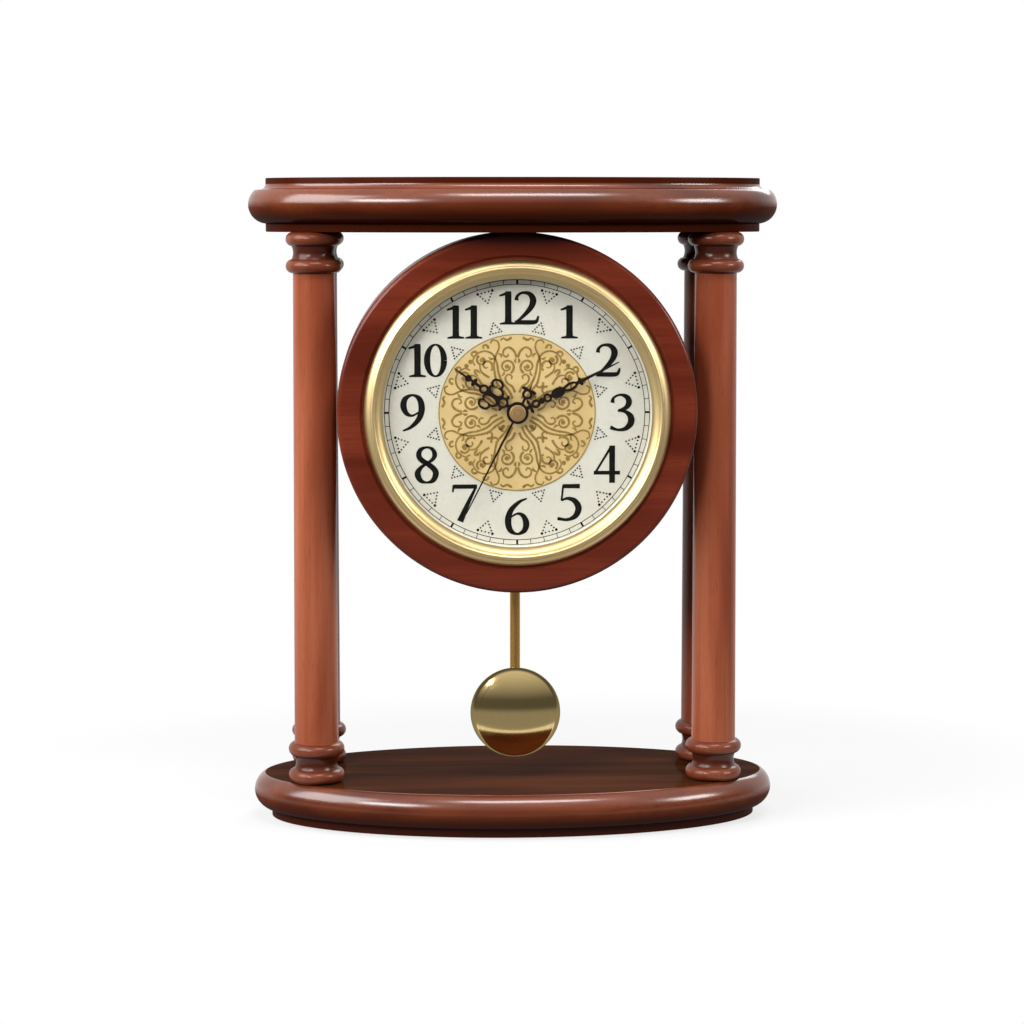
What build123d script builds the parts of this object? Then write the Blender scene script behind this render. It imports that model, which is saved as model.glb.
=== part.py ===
from build123d import *
import os
from math import cos, pi, radians, sin, sqrt

# Desk pendulum clock, in millimetres. X runs to the right as the dial is read, Y to the back and Z up.
# The origin lies under the middle of the base, on the surface that the felt pads stand on.
os.makedirs("parts", exist_ok=True)

# Dial and glass: the dial's radius sets the bezel, the case, the columns and the two plates
dial_radius = 62.0
dial_thickness = 0.6
dial_forward = 37.0
medallion_radius = 34.7
medallion_thickness = 0.2
spacer_width = 3.0
spacer_height = 4.4
lens_flange_width = 3.0
lens_thickness = 1.6
lens_rise = 3.8
fit_clearance = 0.1
seat_play = 0.05

# Bezel: a turned brass ring with a sleeve that slips into the case
bezel_lip_width = 3.0
bezel_lip_height = 0.95
bezel_sleeve_wall = 3.4
bezel_sleeve_length = 5.9
bezel_flange_width = 1.8
bezel_flange_edge = 0.8
bezel_ridge_rise = 2.6
bezel_ridge_inset = 3.9
bezel_ridge_width = 2.2
bezel_cove_drop = 0.8
bezel_shoulder_drop = 0.6
bezel_shoulder_bulge = 0.45

# Case: a turned wooden ring in front and a wooden drum behind, hung under the top plate
case_rim_width = 11.9
case_recess_depth = 1.3
case_recess_clearance = 0.9
case_recess_bevel = 1.0
case_edge_round = 2.0
case_seat_cut = 0.2
dial_ledge = 5.0
ring_shoulder = 5.0
drum_wall = 7.5
drum_depth = 34.0
case_screw_radius = 1.75
case_screw_head_radius = 3.0
case_screw_head_height = 2.2
case_screw_spot_depth = 1.0
case_screw_reach = 14.0
case_screw_setback = 8.0
case_screw_spacing = 12.0
screw_clearance = 0.1
hole_run_out = 1.0

# Back cover: a disc with a short skirt that slips into the drum, and a notch for a finger nail
cover_thickness = 2.8
cover_rebate_depth = 3.0
cover_rebate_width = 2.7
cover_clearance = 0.3
cover_skirt_wall = 0.8
cover_skirt_length = 5.0
cover_skirt_clearance = 0.2
cover_notch_radius = 12.0
cover_notch_depth = 2.0

# Columns: turned wood, two beads and a neck at each end, a shaft that tapers upwards
column_length = 245.5
column_bead_radius = 12.5
column_bead_height = 6.2
column_neck_radius = 9.2
column_neck_height = 5.7
column_end_radius = 9.9
column_shaft_bottom_radius = 9.8
column_shaft_top_radius = 9.3
column_case_gap = 0.2
column_forward = 22.5
column_screw_radius = 2.0
column_screw_reach = 24.5
column_screw_head_radius = 4.0
column_screw_head_height = 3.0
counterbore_depth = 7.0
counterbore_clearance = 0.5
dowel_radius = 4.0
dowel_clearance = 0.05
dowel_depth_in_column = 14.0
dowel_depth_in_plate = 12.0
dowel_end_play = 0.3

# Plates: ovals whose margins are measured from the columns
plate_side_margin = 22.1
plate_front_margin = 32.5
nosing_overhang = 7.85
nosing_height = 17.2
nosing_round_share = 0.499
base_inset = 1.2
deck_planing = 1.1
shoulder_planing = 2.0
plinth_height = 3.6
lower_lip_height = 3.6
upper_lip_height = 5.2
upper_lip_cove = 2.8
pad_height = 0.8
pad_radius = 7.0
pad_place_x = 70.0
pad_place_y = 28.0

# Movement shells: a plastic box in two halves, with an open bay for the battery on the right
movement_half_width = 28.0
movement_depth = 12.2
front_shell_depth = 7.5
shell_side_wall = 1.2
shell_end_wall = 1.5
shell_corner = 3.0
bay_wall = 0.8
gasket_thickness = 1.0
gasket_radius = 8.0
nut_height = 1.2
nut_width = 8.4
nut_thread_clearance = 0.05
bushing_stand_out = 3.1
dial_hole_clearance = 0.2
battery_radius = 7.1
battery_length = 50.2
battery_nub_radius = 2.7
battery_nub_height = 1.2
battery_side_room = 0.7
battery_bay_room = 0.5
battery_floor_room = 0.3
contact_thickness = 0.8
contact_play = 0.1
leaf_height = 3.4
leaf_thickness = 0.4
contact_width = 10.0
contact_depth = 8.0

# Wheel train: arbor places, tooth counts and the common height of the layers
centre_distance = 9.0
motion_bearing = 90
third_bearing = 150
intermediate_bearing = 210
rotor_bearing = 180
rotor_distance = 8.75
hour_teeth = 40
motion_pinion_leaves = 10
motion_teeth = 36
minute_pinion_leaves = 12
minute_teeth = 64
third_pinion_leaves = 8
third_teeth = 60
second_pinion_leaves = 8
second_teeth = 60
intermediate_pinion_leaves = 12
intermediate_teeth = 60
rotor_pinion_leaves = 10
wheel_thickness = 0.9
layer_gap = 0.5
train_end_play = 0.3
pinion_overreach = 0.1
arbor_radius = 0.5
motion_arbor_radius = 0.6
pivot_radius = 0.4
pivot_clearance = 0.05
pivot_depth = 0.8
pivot_end_play = 0.1
tube_clearance = 0.06
minute_tube_wall = 1.04
hour_tube_wall = 0.79
bushing_wall = 0.79
wheel_addendum = 0.8
pinion_addendum = 0.6
dedendum = 1.1
wheel_tooth_share = 0.42
pinion_tooth_share = 0.38
wheel_tip_share = 0.16
pinion_tip_share = 0.22
spoke_window_share = 0.62
centre_wheel_windows = 5
side_wheel_windows = 4

# Stepper motor, circuit board and pendulum drive inside the movement
rotor_radius = 2.5
rotor_length = 3.0
rotor_air_gap = 0.6
stator_thickness = 0.8
stator_bar = 9.0
stator_side_room = 0.3
stator_right_reach = 6.0
stator_leg = 3.0
stator_core = 2.0
stator_core_inset = 2.0
stator_top = 23.0
stator_top_bar = 3.5
coil_radius = 3.0
coil_winding_radius = 2.6
coil_length = 13.0
coil_flange = 0.8
coil_core_clearance = 0.04
post_radius = 1.2
board_height = 14.0
board_thickness = 1.0
board_edge_room = 0.3
board_bay_room = 2.6
chip_width = 5.0
chip_height = 4.0
chip_thickness = 1.0
chip_across = -14.0
crystal_radius = 1.5
crystal_length = 8.0
crystal_end_round = 0.375
crystal_across = -4.0
crystal_gap = 0.02
drive_coil_radius = 6.0
drive_coil_bore = 2.0
drive_coil_height = 3.5

# Hands, shown at ten past ten with the seconds in the lower left
rest_hours = 10
rest_minutes = 10
rest_seconds = 34.5
hand_thickness = 0.4
hand_step = 1.0
hand_hub_clearance = 0.02
hand_line = 1.1
hour_hand_length = 33.8
hour_boss_radius = 4.3
minute_hand_length = 49.8
minute_boss_radius = 4.0
second_hand_length = 49.6
second_tail_length = 14.6
second_boss_radius = 4.8
needle_half_width = 0.8
needle_tip_half = 0.25
hour_ring_reach = 7.8
hour_ring_radius = 2.5
hour_spur_spread = 2.9
hour_spur_reach = 7.2
hour_spur_half = 1.2
hour_oval_spread = 2.35
hour_oval_reach = 13.0
hour_oval_half_width = 2.5
hour_oval_half_length = 3.9
hour_lobe_spread = 5.2
hour_lobe_reach = 14.3
hour_lobe_half_width = 2.4
hour_lobe_half_length = 3.0
hour_eye_reach = 18.0
hour_eye_radius = 2.2
hour_collar_reach = 23.2
hour_collar_half = 2.0
hour_knob_reach = 26.3
hour_knob_half = 1.5
minute_spur_spread = 1.9
minute_spur_reach = 6.3
minute_ring_reach = 9.0
minute_ring_radius = 2.0
minute_bead_reach = 12.0
minute_bead_half = 1.4
minute_second_ring_reach = 14.8
minute_leaf_reach = 19.9
minute_leaf_half_width = 2.3
minute_leaf_half_length = 3.3
minute_loop_reach = 25.9
minute_loop_half_width = 1.8
minute_loop_half_length = 3.5
minute_collar_reach = 30.9
minute_collar_half = 1.9
second_loop_reach = 9.25
second_loop_radius = 2.3
second_horn_spread = 1.9
second_horn_half = 1.6
second_tail_half = 0.6
cap_radius = 3.6
cap_height = 1.0
cap_round = 0.6

# Setting knob on the back of the motion arbor
knob_radius = 5.5
knob_height = 4.3
knob_gap = 0.5
knob_flutes = 12
knob_flute_radius = 0.8
knob_grip = 2.3

# Pendulum: a plastic arm on a pin behind the movement, a hook strip, a brass rod and a brass bob
pivot_drop = 3.0
pivot_pin_radius = 1.0
pivot_pin_clearance = 0.08
pivot_pin_fit = 0.02
pivot_pin_head_radius = 1.8
pivot_pin_head_height = 0.7
arm_gap = 0.5
arm_thickness = 2.5
arm_width = 7.0
arm_boss_radius = 4.0
arm_length = 30.0
magnet_radius = 4.0
magnet_thickness = 1.5
magnet_wall = 1.2
magnet_drop = 17.0
peg_radius = 1.2
peg_head_radius = 1.9
peg_head_height = 0.8
peg_length = 2.6
hook_thickness = 0.8
hook_width = 3.0
hook_eye_radius = 2.6
hook_gap = 0.2
hook_in_rod = 12.0
rod_radius = 2.3
rod_wall = 0.6
rod_top_drop = 7.0
rod_tail = 14.2
bob_radius = 20.2
bob_floor_gap = 10.0
bob_sheet = 0.6
bob_rise = 3.9
bob_rim_width = 1.3
bob_back_inset = 0.6
clip_length = 8.0
clip_sheet = 0.5
clip_half_width = 7.0
slot_side_room = 15.0
slot_depth_room = 2.2
slot_run_out = 3.0

# Levels from the floor upwards
base_nosing_z = pad_height + plinth_height
deck_z = base_nosing_z + nosing_height - deck_planing
ceiling_z = deck_z + column_length
top_nosing_z = ceiling_z + lower_lip_height
top_shoulder_z = top_nosing_z + nosing_height - shoulder_planing

# Depths from the back of the dial forwards, and the radii that follow from the dial
dial_back = -dial_forward
dial_front = dial_back - dial_thickness
medallion_front = dial_front - medallion_thickness
spacer_front = dial_front - spacer_height
lens_flange_front = spacer_front - lens_thickness
lens_crown = lens_flange_front - lens_rise
lens_radius = dial_radius - fit_clearance
lens_dome_radius = lens_radius - lens_flange_width
bezel_pocket_radius = dial_radius + fit_clearance
bezel_sleeve_radius = bezel_pocket_radius + bezel_sleeve_wall
bezel_radius = bezel_sleeve_radius + bezel_flange_width
bezel_opening_radius = dial_radius - bezel_lip_width
bezel_flange_back = dial_back - fit_clearance - bezel_sleeve_length
bezel_lip_back = lens_flange_front - seat_play
bezel_lip_front = bezel_lip_back - bezel_lip_height
bezel_ridge_front = bezel_lip_front - bezel_ridge_rise
bezel_ridge_radius = bezel_radius - bezel_ridge_inset
case_bore_radius = bezel_sleeve_radius + fit_clearance
case_recess_radius = bezel_radius + case_recess_clearance
case_radius = bezel_radius + case_rim_width
case_face = bezel_flange_back - case_recess_depth
ring_back = dial_back + ring_shoulder
drum_back = ring_back + drum_depth
drum_bore_radius = case_radius - drum_wall
cover_rebate_radius = drum_bore_radius + cover_rebate_width
cover_rebate_floor = drum_back - cover_rebate_depth
axis_z = ceiling_z - case_radius + case_seat_cut
dial_axis = Axis((0, 0, axis_z), (0, 1, 0))

# Columns and plates around the case
column_x = case_radius + column_case_gap + column_shaft_bottom_radius
column_y = column_forward
plate_half_width = column_x + plate_side_margin
plate_half_depth = column_y + plate_front_margin
nosing_half_width = plate_half_width + nosing_overhang
nosing_half_depth = plate_half_depth + nosing_overhang
column_pilot_radius = column_screw_radius + screw_clearance
dowel_hole_radius = dowel_radius + dowel_clearance
case_screw_hole_radius = case_screw_radius + screw_clearance
case_screw_places = [ring_back + case_screw_setback, ring_back + case_screw_setback + case_screw_spacing]
case_screw_seat_z = axis_z + drum_bore_radius + case_screw_spot_depth

# Movement box behind the dial
movement_front = dial_back + gasket_thickness
movement_floor = movement_front + shell_end_wall
shell_split = movement_floor + front_shell_depth
movement_rear = movement_floor + movement_depth
movement_back = movement_rear + shell_end_wall
inner_half_width = movement_half_width - shell_side_wall
battery_top_room = contact_thickness + contact_play
inner_half_height = (battery_length + leaf_height + contact_play + battery_top_room) / 2
movement_half_height = inner_half_height + shell_side_wall
battery_x = inner_half_width - battery_side_room - battery_radius
battery_y = movement_floor + battery_floor_room + battery_radius
battery_foot = -inner_half_height + leaf_height + contact_play
bay_left = battery_x - battery_radius - battery_bay_room
minute_bore_radius = arbor_radius + tube_clearance
minute_tube_radius = minute_bore_radius + minute_tube_wall
hour_bore_radius = minute_tube_radius + tube_clearance
hour_tube_radius = hour_bore_radius + hour_tube_wall
bushing_bore_radius = hour_tube_radius + tube_clearance
bushing_radius = bushing_bore_radius + bushing_wall
bushing_front = movement_front - bushing_stand_out
dial_hole_radius = bushing_radius + dial_hole_clearance

# Arbor places across and up from the dial's centre, and the six wheel layers from the front
third_place = (centre_distance * cos(radians(third_bearing)),
               centre_distance * sin(radians(third_bearing)))
motion_place = (0.0, centre_distance)
intermediate_place = (centre_distance * cos(radians(intermediate_bearing)),
                      centre_distance * sin(radians(intermediate_bearing)))
rotor_place = (intermediate_place[0] - rotor_distance, intermediate_place[1])
layer_pitch = wheel_thickness + layer_gap
hour_layer = movement_floor + train_end_play
motion_layer = hour_layer + layer_pitch
minute_layer = motion_layer + layer_pitch
third_layer = minute_layer + layer_pitch
second_layer = third_layer + layer_pitch
intermediate_layer = second_layer + layer_pitch
hour_hand_front = bushing_front - hand_thickness - hand_step / 2
minute_hand_front = hour_hand_front - hand_step
second_hand_front = minute_hand_front - hand_step
second_turn = 6 * rest_seconds
minute_turn = 6 * (rest_minutes + rest_seconds / 60)
hour_turn = 30 * (rest_hours + rest_minutes / 60 + rest_seconds / 3600)

# Pendulum places behind the movement
pivot_z = axis_z - pivot_drop
arm_front = movement_back + arm_gap
arm_back = arm_front + arm_thickness
peg_z = pivot_z - arm_length
hook_front = arm_back + hook_gap
rod_y = hook_front + hook_thickness / 2
rod_top_z = peg_z - rod_top_drop
bob_z = deck_z + bob_floor_gap + bob_radius
bob_back_rear = rod_y - rod_radius
bob_back_front = bob_back_rear - bob_sheet
bob_dome_radius = bob_radius - bob_rim_width


def front_plane(x, y, z):
    """Plane that faces the front: its x runs right, its y runs up, and extruding comes forward."""
    return Plane(origin=(x, y, z), x_dir=(1, 0, 0), z_dir=(0, -1, 0))


def hand_plane(front, turn):
    """Plane at the back of a hand, turned clockwise from twelve o'clock, with its y along the hand."""
    across = (cos(radians(turn)), 0, -sin(radians(turn)))
    return Plane(origin=(0, front + hand_thickness, axis_z), x_dir=across, z_dir=(0, -1, 0))


def mid_arc(start, end, bulge):
    """Arc between two points that swells by the given height to the right of its way."""
    run_x = end[0] - start[0]
    run_y = end[1] - start[1]
    run = sqrt(run_x * run_x + run_y * run_y)
    middle_x = (start[0] + end[0]) / 2 + bulge * run_y / run
    middle_y = (start[1] + end[1]) / 2 - bulge * run_x / run
    return ThreePointArc(start, (middle_x, middle_y), end)


def dome_middle(rim, crown):
    """Point on a shallow round dome halfway between its rim and its crown on the axis."""
    rise = rim[1] - crown
    radius = (rim[0] ** 2 + rise ** 2) / (2 * rise)
    half = rim[0] / 2
    return (half, crown + radius - sqrt(radius ** 2 - half ** 2))


def finish_part(piece, name):
    """Labels a finished piece and writes its file."""
    piece.part.label = name
    export_step(piece.part, "parts/" + name + ".step")


# Base plate: an oval board with a half-round edge planed flat on top, on a thin plinth
with BuildPart() as base_plate:
    with BuildSketch(Plane.XY.offset(base_nosing_z)):
        Ellipse(nosing_half_width - base_inset, nosing_half_depth - base_inset)
    extrude(amount=nosing_height)
    fillet(base_plate.edges().filter_by(GeomType.ELLIPSE), radius=nosing_height * nosing_round_share)
    split(bisect_by=Plane.XY.offset(deck_z), keep=Keep.BOTTOM)
    with BuildSketch(Plane.XY.offset(pad_height)):
        Ellipse(plate_half_width - base_inset, plate_half_depth - base_inset)
    extrude(amount=plinth_height + nosing_height / 2)
    with Locations((0, 0, pad_height)):
        with GridLocations(2 * column_x, 2 * column_y, 2, 2):
            Cylinder(column_screw_head_radius + counterbore_clearance, counterbore_depth,
                     align=(Align.CENTER, Align.CENTER, Align.MIN), mode=Mode.SUBTRACT)
            Cylinder(column_pilot_radius, deck_z, align=(Align.CENTER, Align.CENTER, Align.MIN),
                     mode=Mode.SUBTRACT)
finish_part(base_plate, "base_plate")

# Top plate: a slightly larger oval, planed to a shoulder under its upper lip, with a cove in the corner
# and with holes for the dowels and the case's screws
with BuildPart() as top_plate:
    with BuildSketch(Plane.XY.offset(top_nosing_z)):
        Ellipse(nosing_half_width, nosing_half_depth)
    extrude(amount=nosing_height)
    fillet(top_plate.edges().filter_by(GeomType.ELLIPSE), radius=nosing_height * nosing_round_share)
    split(bisect_by=Plane.XY.offset(top_shoulder_z), keep=Keep.BOTTOM)
    with BuildSketch(Plane.XY.offset(top_shoulder_z)):
        Ellipse(plate_half_width, plate_half_depth)
    extrude(amount=upper_lip_height)
    fillet(top_plate.edges().filter_by(GeomType.ELLIPSE).filter_by_position(
        Axis.Z, top_shoulder_z - seat_play, top_shoulder_z + seat_play), radius=upper_lip_cove)
    with BuildSketch(Plane.XY.offset(ceiling_z)):
        Ellipse(plate_half_width, plate_half_depth)
    extrude(amount=lower_lip_height + nosing_height / 2)
    with Locations((0, 0, ceiling_z)):
        with GridLocations(2 * column_x, 2 * column_y, 2, 2):
            Cylinder(dowel_hole_radius, dowel_depth_in_plate + dowel_end_play,
                     align=(Align.CENTER, Align.CENTER, Align.MIN), mode=Mode.SUBTRACT)
    with Locations(*[(0, y, ceiling_z) for y in case_screw_places]):
        Cylinder(case_screw_hole_radius, case_screw_reach + hole_run_out,
                 align=(Align.CENTER, Align.CENTER, Align.MIN), mode=Mode.SUBTRACT)
finish_part(top_plate, "top_plate")

# Four columns: one turned profile, drilled for a screw below and a dowel above
column_places = {
    "front_left_column": (-column_x, -column_y),
    "front_right_column": (column_x, -column_y),
    "back_left_column": (-column_x, column_y),
    "back_right_column": (column_x, column_y),
}
first_bead = column_bead_height
neck_end = first_bead + column_neck_height
second_bead = neck_end + column_bead_height
column_top = column_length - second_bead
bead_middle = column_bead_height / 2
neck_middle = column_neck_height / 2
for column_name, (column_place_x, column_place_y) in column_places.items():
    with BuildPart() as column:
        with BuildSketch(front_plane(column_place_x, column_place_y, deck_z)):
            with BuildLine():
                Line((0, 0), (column_end_radius, 0))
                ThreePointArc((column_end_radius, 0), (column_bead_radius, bead_middle),
                              (column_end_radius, first_bead))
                ThreePointArc((column_end_radius, first_bead),
                              (column_neck_radius, first_bead + neck_middle),
                              (column_end_radius, neck_end))
                ThreePointArc((column_end_radius, neck_end), (column_bead_radius, neck_end + bead_middle),
                              (column_shaft_bottom_radius, second_bead))
                Line((column_shaft_bottom_radius, second_bead), (column_shaft_top_radius, column_top))
                ThreePointArc((column_shaft_top_radius, column_top),
                              (column_bead_radius, column_top + bead_middle),
                              (column_end_radius, column_top + first_bead))
                ThreePointArc((column_end_radius, column_top + first_bead),
                              (column_neck_radius, column_top + first_bead + neck_middle),
                              (column_end_radius, column_top + neck_end))
                ThreePointArc((column_end_radius, column_top + neck_end),
                              (column_bead_radius, column_length - bead_middle),
                              (column_end_radius, column_length))
                Line((column_end_radius, column_length), (0, column_length))
                Line((0, column_length), (0, 0))
            make_face()
        revolve(axis=Axis((column_place_x, column_place_y, 0), (0, 0, 1)))
        with Locations((column_place_x, column_place_y, deck_z)):
            Cylinder(column_pilot_radius, column_screw_reach + hole_run_out,
                     align=(Align.CENTER, Align.CENTER, Align.MIN), mode=Mode.SUBTRACT)
        with Locations((column_place_x, column_place_y, ceiling_z)):
            Cylinder(dowel_hole_radius, dowel_depth_in_column + dowel_end_play,
                     align=(Align.CENTER, Align.CENTER, Align.MAX), mode=Mode.SUBTRACT)
    finish_part(column, column_name)

# Four wood screws, up through the base into the columns
screw_seat_z = pad_height + counterbore_depth
with BuildPart() as column_screws:
    with Locations((0, 0, screw_seat_z)):
        with GridLocations(2 * column_x, 2 * column_y, 2, 2):
            Cylinder(column_screw_head_radius, column_screw_head_height,
                     align=(Align.CENTER, Align.CENTER, Align.MAX))
            Cylinder(column_screw_radius, deck_z + column_screw_reach - screw_seat_z,
                     align=(Align.CENTER, Align.CENTER, Align.MIN))
finish_part(column_screws, "column_screws")

# Four wooden dowels between the columns and the top plate
with BuildPart() as column_dowels:
    with Locations((0, 0, ceiling_z - dowel_depth_in_column)):
        with GridLocations(2 * column_x, 2 * column_y, 2, 2):
            Cylinder(dowel_radius, dowel_depth_in_column + dowel_depth_in_plate,
                     align=(Align.CENTER, Align.CENTER, Align.MIN))
finish_part(column_dowels, "column_dowels")

# Four felt pads under the plinth
with BuildPart() as felt_pads:
    with GridLocations(2 * pad_place_x, 2 * pad_place_y, 2, 2):
        Cylinder(pad_radius, pad_height, align=(Align.CENTER, Align.CENTER, Align.MIN))
finish_part(felt_pads, "felt_pads")

# Front ring of the case: recess for the bezel, bore for its sleeve, ledge for the dial
with BuildPart() as case_front_ring:
    with BuildSketch(Plane.XY.offset(axis_z)):
        with BuildLine():
            Polyline((case_radius, ring_back), (case_radius, case_face),
                     (case_recess_radius + case_recess_bevel, case_face),
                     (case_recess_radius, bezel_flange_back), (case_bore_radius, bezel_flange_back),
                     (case_bore_radius, dial_back), (dial_radius - dial_ledge, dial_back),
                     (dial_radius - dial_ledge, ring_back), close=True)
        make_face()
    revolve(axis=dial_axis)
    fillet(case_front_ring.edges().filter_by(GeomType.CIRCLE).filter_by(
        lambda edge: abs(edge.radius - case_radius) < seat_play).sort_by(Axis.Y)[0], radius=case_edge_round)
    split(bisect_by=Plane.XY.offset(ceiling_z), keep=Keep.BOTTOM)
finish_part(case_front_ring, "case_front_ring")

# Drum of the case: a plain tube with a rebate for the cover and a slot below for the pendulum
with BuildPart() as case_drum:
    with BuildSketch(Plane.XY.offset(axis_z)):
        with BuildLine():
            Polyline((drum_bore_radius, ring_back), (case_radius, ring_back), (case_radius, drum_back),
                     (cover_rebate_radius, drum_back), (cover_rebate_radius, cover_rebate_floor),
                     (drum_bore_radius, cover_rebate_floor), close=True)
        make_face()
    revolve(axis=dial_axis)
    split(bisect_by=Plane.XY.offset(ceiling_z), keep=Keep.BOTTOM)
    with Locations((0, rod_y, axis_z - case_radius)):
        Box(2 * slot_side_room, 2 * (rod_radius + slot_depth_room), 2 * (drum_wall + slot_run_out),
            mode=Mode.SUBTRACT)
    with Locations(*[(0, y, case_screw_seat_z) for y in case_screw_places]):
        Cylinder(case_screw_head_radius + counterbore_clearance,
                 case_screw_spot_depth + case_screw_head_height,
                 align=(Align.CENTER, Align.CENTER, Align.MAX), mode=Mode.SUBTRACT)
        Cylinder(case_screw_hole_radius, drum_wall + hole_run_out,
                 align=(Align.CENTER, Align.CENTER, Align.MIN), mode=Mode.SUBTRACT)
finish_part(case_drum, "case_drum")

# Two screws that hang the case from the top plate
with BuildPart() as case_screws:
    with Locations(*[(0, y, case_screw_seat_z) for y in case_screw_places]):
        Cylinder(case_screw_head_radius, case_screw_head_height,
                 align=(Align.CENTER, Align.CENTER, Align.MAX))
        Cylinder(case_screw_radius, ceiling_z + case_screw_reach - case_screw_seat_z,
                 align=(Align.CENTER, Align.CENTER, Align.MIN))
finish_part(case_screws, "case_screws")

# Bezel: pale inner lip, cove up to a bright ridge, round shoulder down to the flange, sleeve behind
bezel_cove_radius = bezel_ridge_radius - bezel_ridge_width / 2
bezel_shoulder_radius = bezel_ridge_radius + bezel_ridge_width / 2
with BuildPart() as bezel:
    with BuildSketch(Plane.XY.offset(axis_z)):
        with BuildLine():
            Line((bezel_opening_radius, bezel_lip_back), (bezel_opening_radius, bezel_lip_front))
            mid_arc((bezel_opening_radius, bezel_lip_front),
                    (bezel_cove_radius, bezel_ridge_front + bezel_cove_drop), -bezel_shoulder_bulge)
            ThreePointArc((bezel_cove_radius, bezel_ridge_front + bezel_cove_drop),
                          (bezel_ridge_radius, bezel_ridge_front),
                          (bezel_shoulder_radius, bezel_ridge_front + bezel_shoulder_drop))
            mid_arc((bezel_shoulder_radius, bezel_ridge_front + bezel_shoulder_drop),
                    (bezel_radius, bezel_flange_back - bezel_flange_edge), bezel_shoulder_bulge)
            Polyline((bezel_radius, bezel_flange_back - bezel_flange_edge),
                     (bezel_radius, bezel_flange_back), (bezel_sleeve_radius, bezel_flange_back),
                     (bezel_sleeve_radius, dial_back - fit_clearance),
                     (bezel_pocket_radius, dial_back - fit_clearance),
                     (bezel_pocket_radius, bezel_lip_back), (bezel_opening_radius, bezel_lip_back))
        make_face()
    revolve(axis=dial_axis)
finish_part(bezel, "bezel")

# Lens: a flat flange behind the bezel's lip and a shallow dome of even thickness
lens_inner_rim = (lens_dome_radius - lens_thickness, spacer_front)
lens_outer_rim = (lens_dome_radius, lens_flange_front)
with BuildPart() as lens:
    with BuildSketch(Plane.XY.offset(axis_z)):
        with BuildLine():
            ThreePointArc((0, lens_crown), dome_middle(lens_outer_rim, lens_crown), lens_outer_rim)
            Polyline(lens_outer_rim, (lens_radius, lens_flange_front), (lens_radius, spacer_front),
                     lens_inner_rim)
            ThreePointArc(lens_inner_rim, dome_middle(lens_inner_rim, lens_crown + lens_thickness),
                          (0, lens_crown + lens_thickness))
            Line((0, lens_crown + lens_thickness), (0, lens_crown))
        make_face()
    revolve(axis=dial_axis)
finish_part(lens, "lens")

# Spacer ring between the dial and the lens
with BuildPart() as dial_spacer_ring:
    with BuildSketch(front_plane(0, dial_front, axis_z)):
        Circle(dial_radius)
        Circle(dial_radius - spacer_width, mode=Mode.SUBTRACT)
    extrude(amount=spacer_height)
finish_part(dial_spacer_ring, "dial_spacer_ring")

# Dial plate with the hole for the movement's bushing
with BuildPart() as dial:
    with BuildSketch(front_plane(0, dial_back, axis_z)):
        Circle(dial_radius)
        Circle(dial_hole_radius, mode=Mode.SUBTRACT)
    extrude(amount=dial_thickness)
finish_part(dial, "dial")

# Thin gold medallion in the middle of the dial
with BuildPart() as dial_medallion:
    with BuildSketch(front_plane(0, dial_front, axis_z)):
        Circle(medallion_radius)
        Circle(dial_hole_radius, mode=Mode.SUBTRACT)
    extrude(amount=medallion_thickness)
finish_part(dial_medallion, "dial_medallion")

# Hexagon nut on the bushing, and the gasket behind the dial
with BuildPart() as dial_nut:
    with BuildSketch(front_plane(0, medallion_front, axis_z)):
        RegularPolygon(nut_width / 2, 6, major_radius=False)
        Circle(bushing_radius + nut_thread_clearance, mode=Mode.SUBTRACT)
    extrude(amount=nut_height)
finish_part(dial_nut, "dial_nut")

with BuildPart() as dial_gasket:
    with BuildSketch(front_plane(0, movement_front, axis_z)):
        Circle(gasket_radius)
        Circle(bushing_radius + nut_thread_clearance, mode=Mode.SUBTRACT)
    extrude(amount=gasket_thickness)
finish_part(dial_gasket, "dial_gasket")

# Front shell of the movement: tray with the threaded bushing, pivot holes, bay wall and two stator posts
stator_front = minute_layer + layer_gap / 2
stator_left = -inner_half_width + stator_side_room
stator_right = rotor_place[0] + stator_right_reach
stator_foot = rotor_place[1] - stator_bar / 2
post_places = [(stator_right - stator_leg / 2, stator_top - stator_top_bar / 2),
               (stator_left + post_radius, stator_foot + post_radius)]
pivot_places = [third_place, motion_place, intermediate_place, rotor_place]
inner_width = 2 * inner_half_width
inner_height = 2 * inner_half_height
outer_width = 2 * movement_half_width
outer_height = 2 * movement_half_height
with BuildPart() as movement_front_shell:
    with BuildSketch(front_plane(0, shell_split, axis_z)):
        RectangleRounded(outer_width, outer_height, shell_corner)
    extrude(amount=shell_split - movement_front)
    with BuildSketch(front_plane(0, shell_split, axis_z)):
        RectangleRounded(inner_width, inner_height, shell_corner - shell_side_wall)
        with Locations((bay_left - bay_wall / 2, 0)):
            Rectangle(bay_wall, inner_height, mode=Mode.SUBTRACT)
    extrude(amount=front_shell_depth, mode=Mode.SUBTRACT)
    with BuildSketch(front_plane(0, movement_front, axis_z)):
        Circle(bushing_radius)
    extrude(amount=bushing_stand_out)
    with BuildSketch(front_plane(0, stator_front, axis_z)):
        with Locations(*post_places):
            Circle(post_radius)
    extrude(amount=stator_front - movement_floor)
    with BuildSketch(front_plane(0, movement_floor, axis_z)):
        Circle(bushing_bore_radius)
    extrude(amount=movement_floor - bushing_front, mode=Mode.SUBTRACT)
    with BuildSketch(front_plane(0, movement_floor, axis_z)):
        with Locations(*pivot_places):
            Circle(pivot_radius + pivot_clearance)
    extrude(amount=pivot_depth + pivot_end_play, mode=Mode.SUBTRACT)
finish_part(movement_front_shell, "movement_front_shell")

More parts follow.
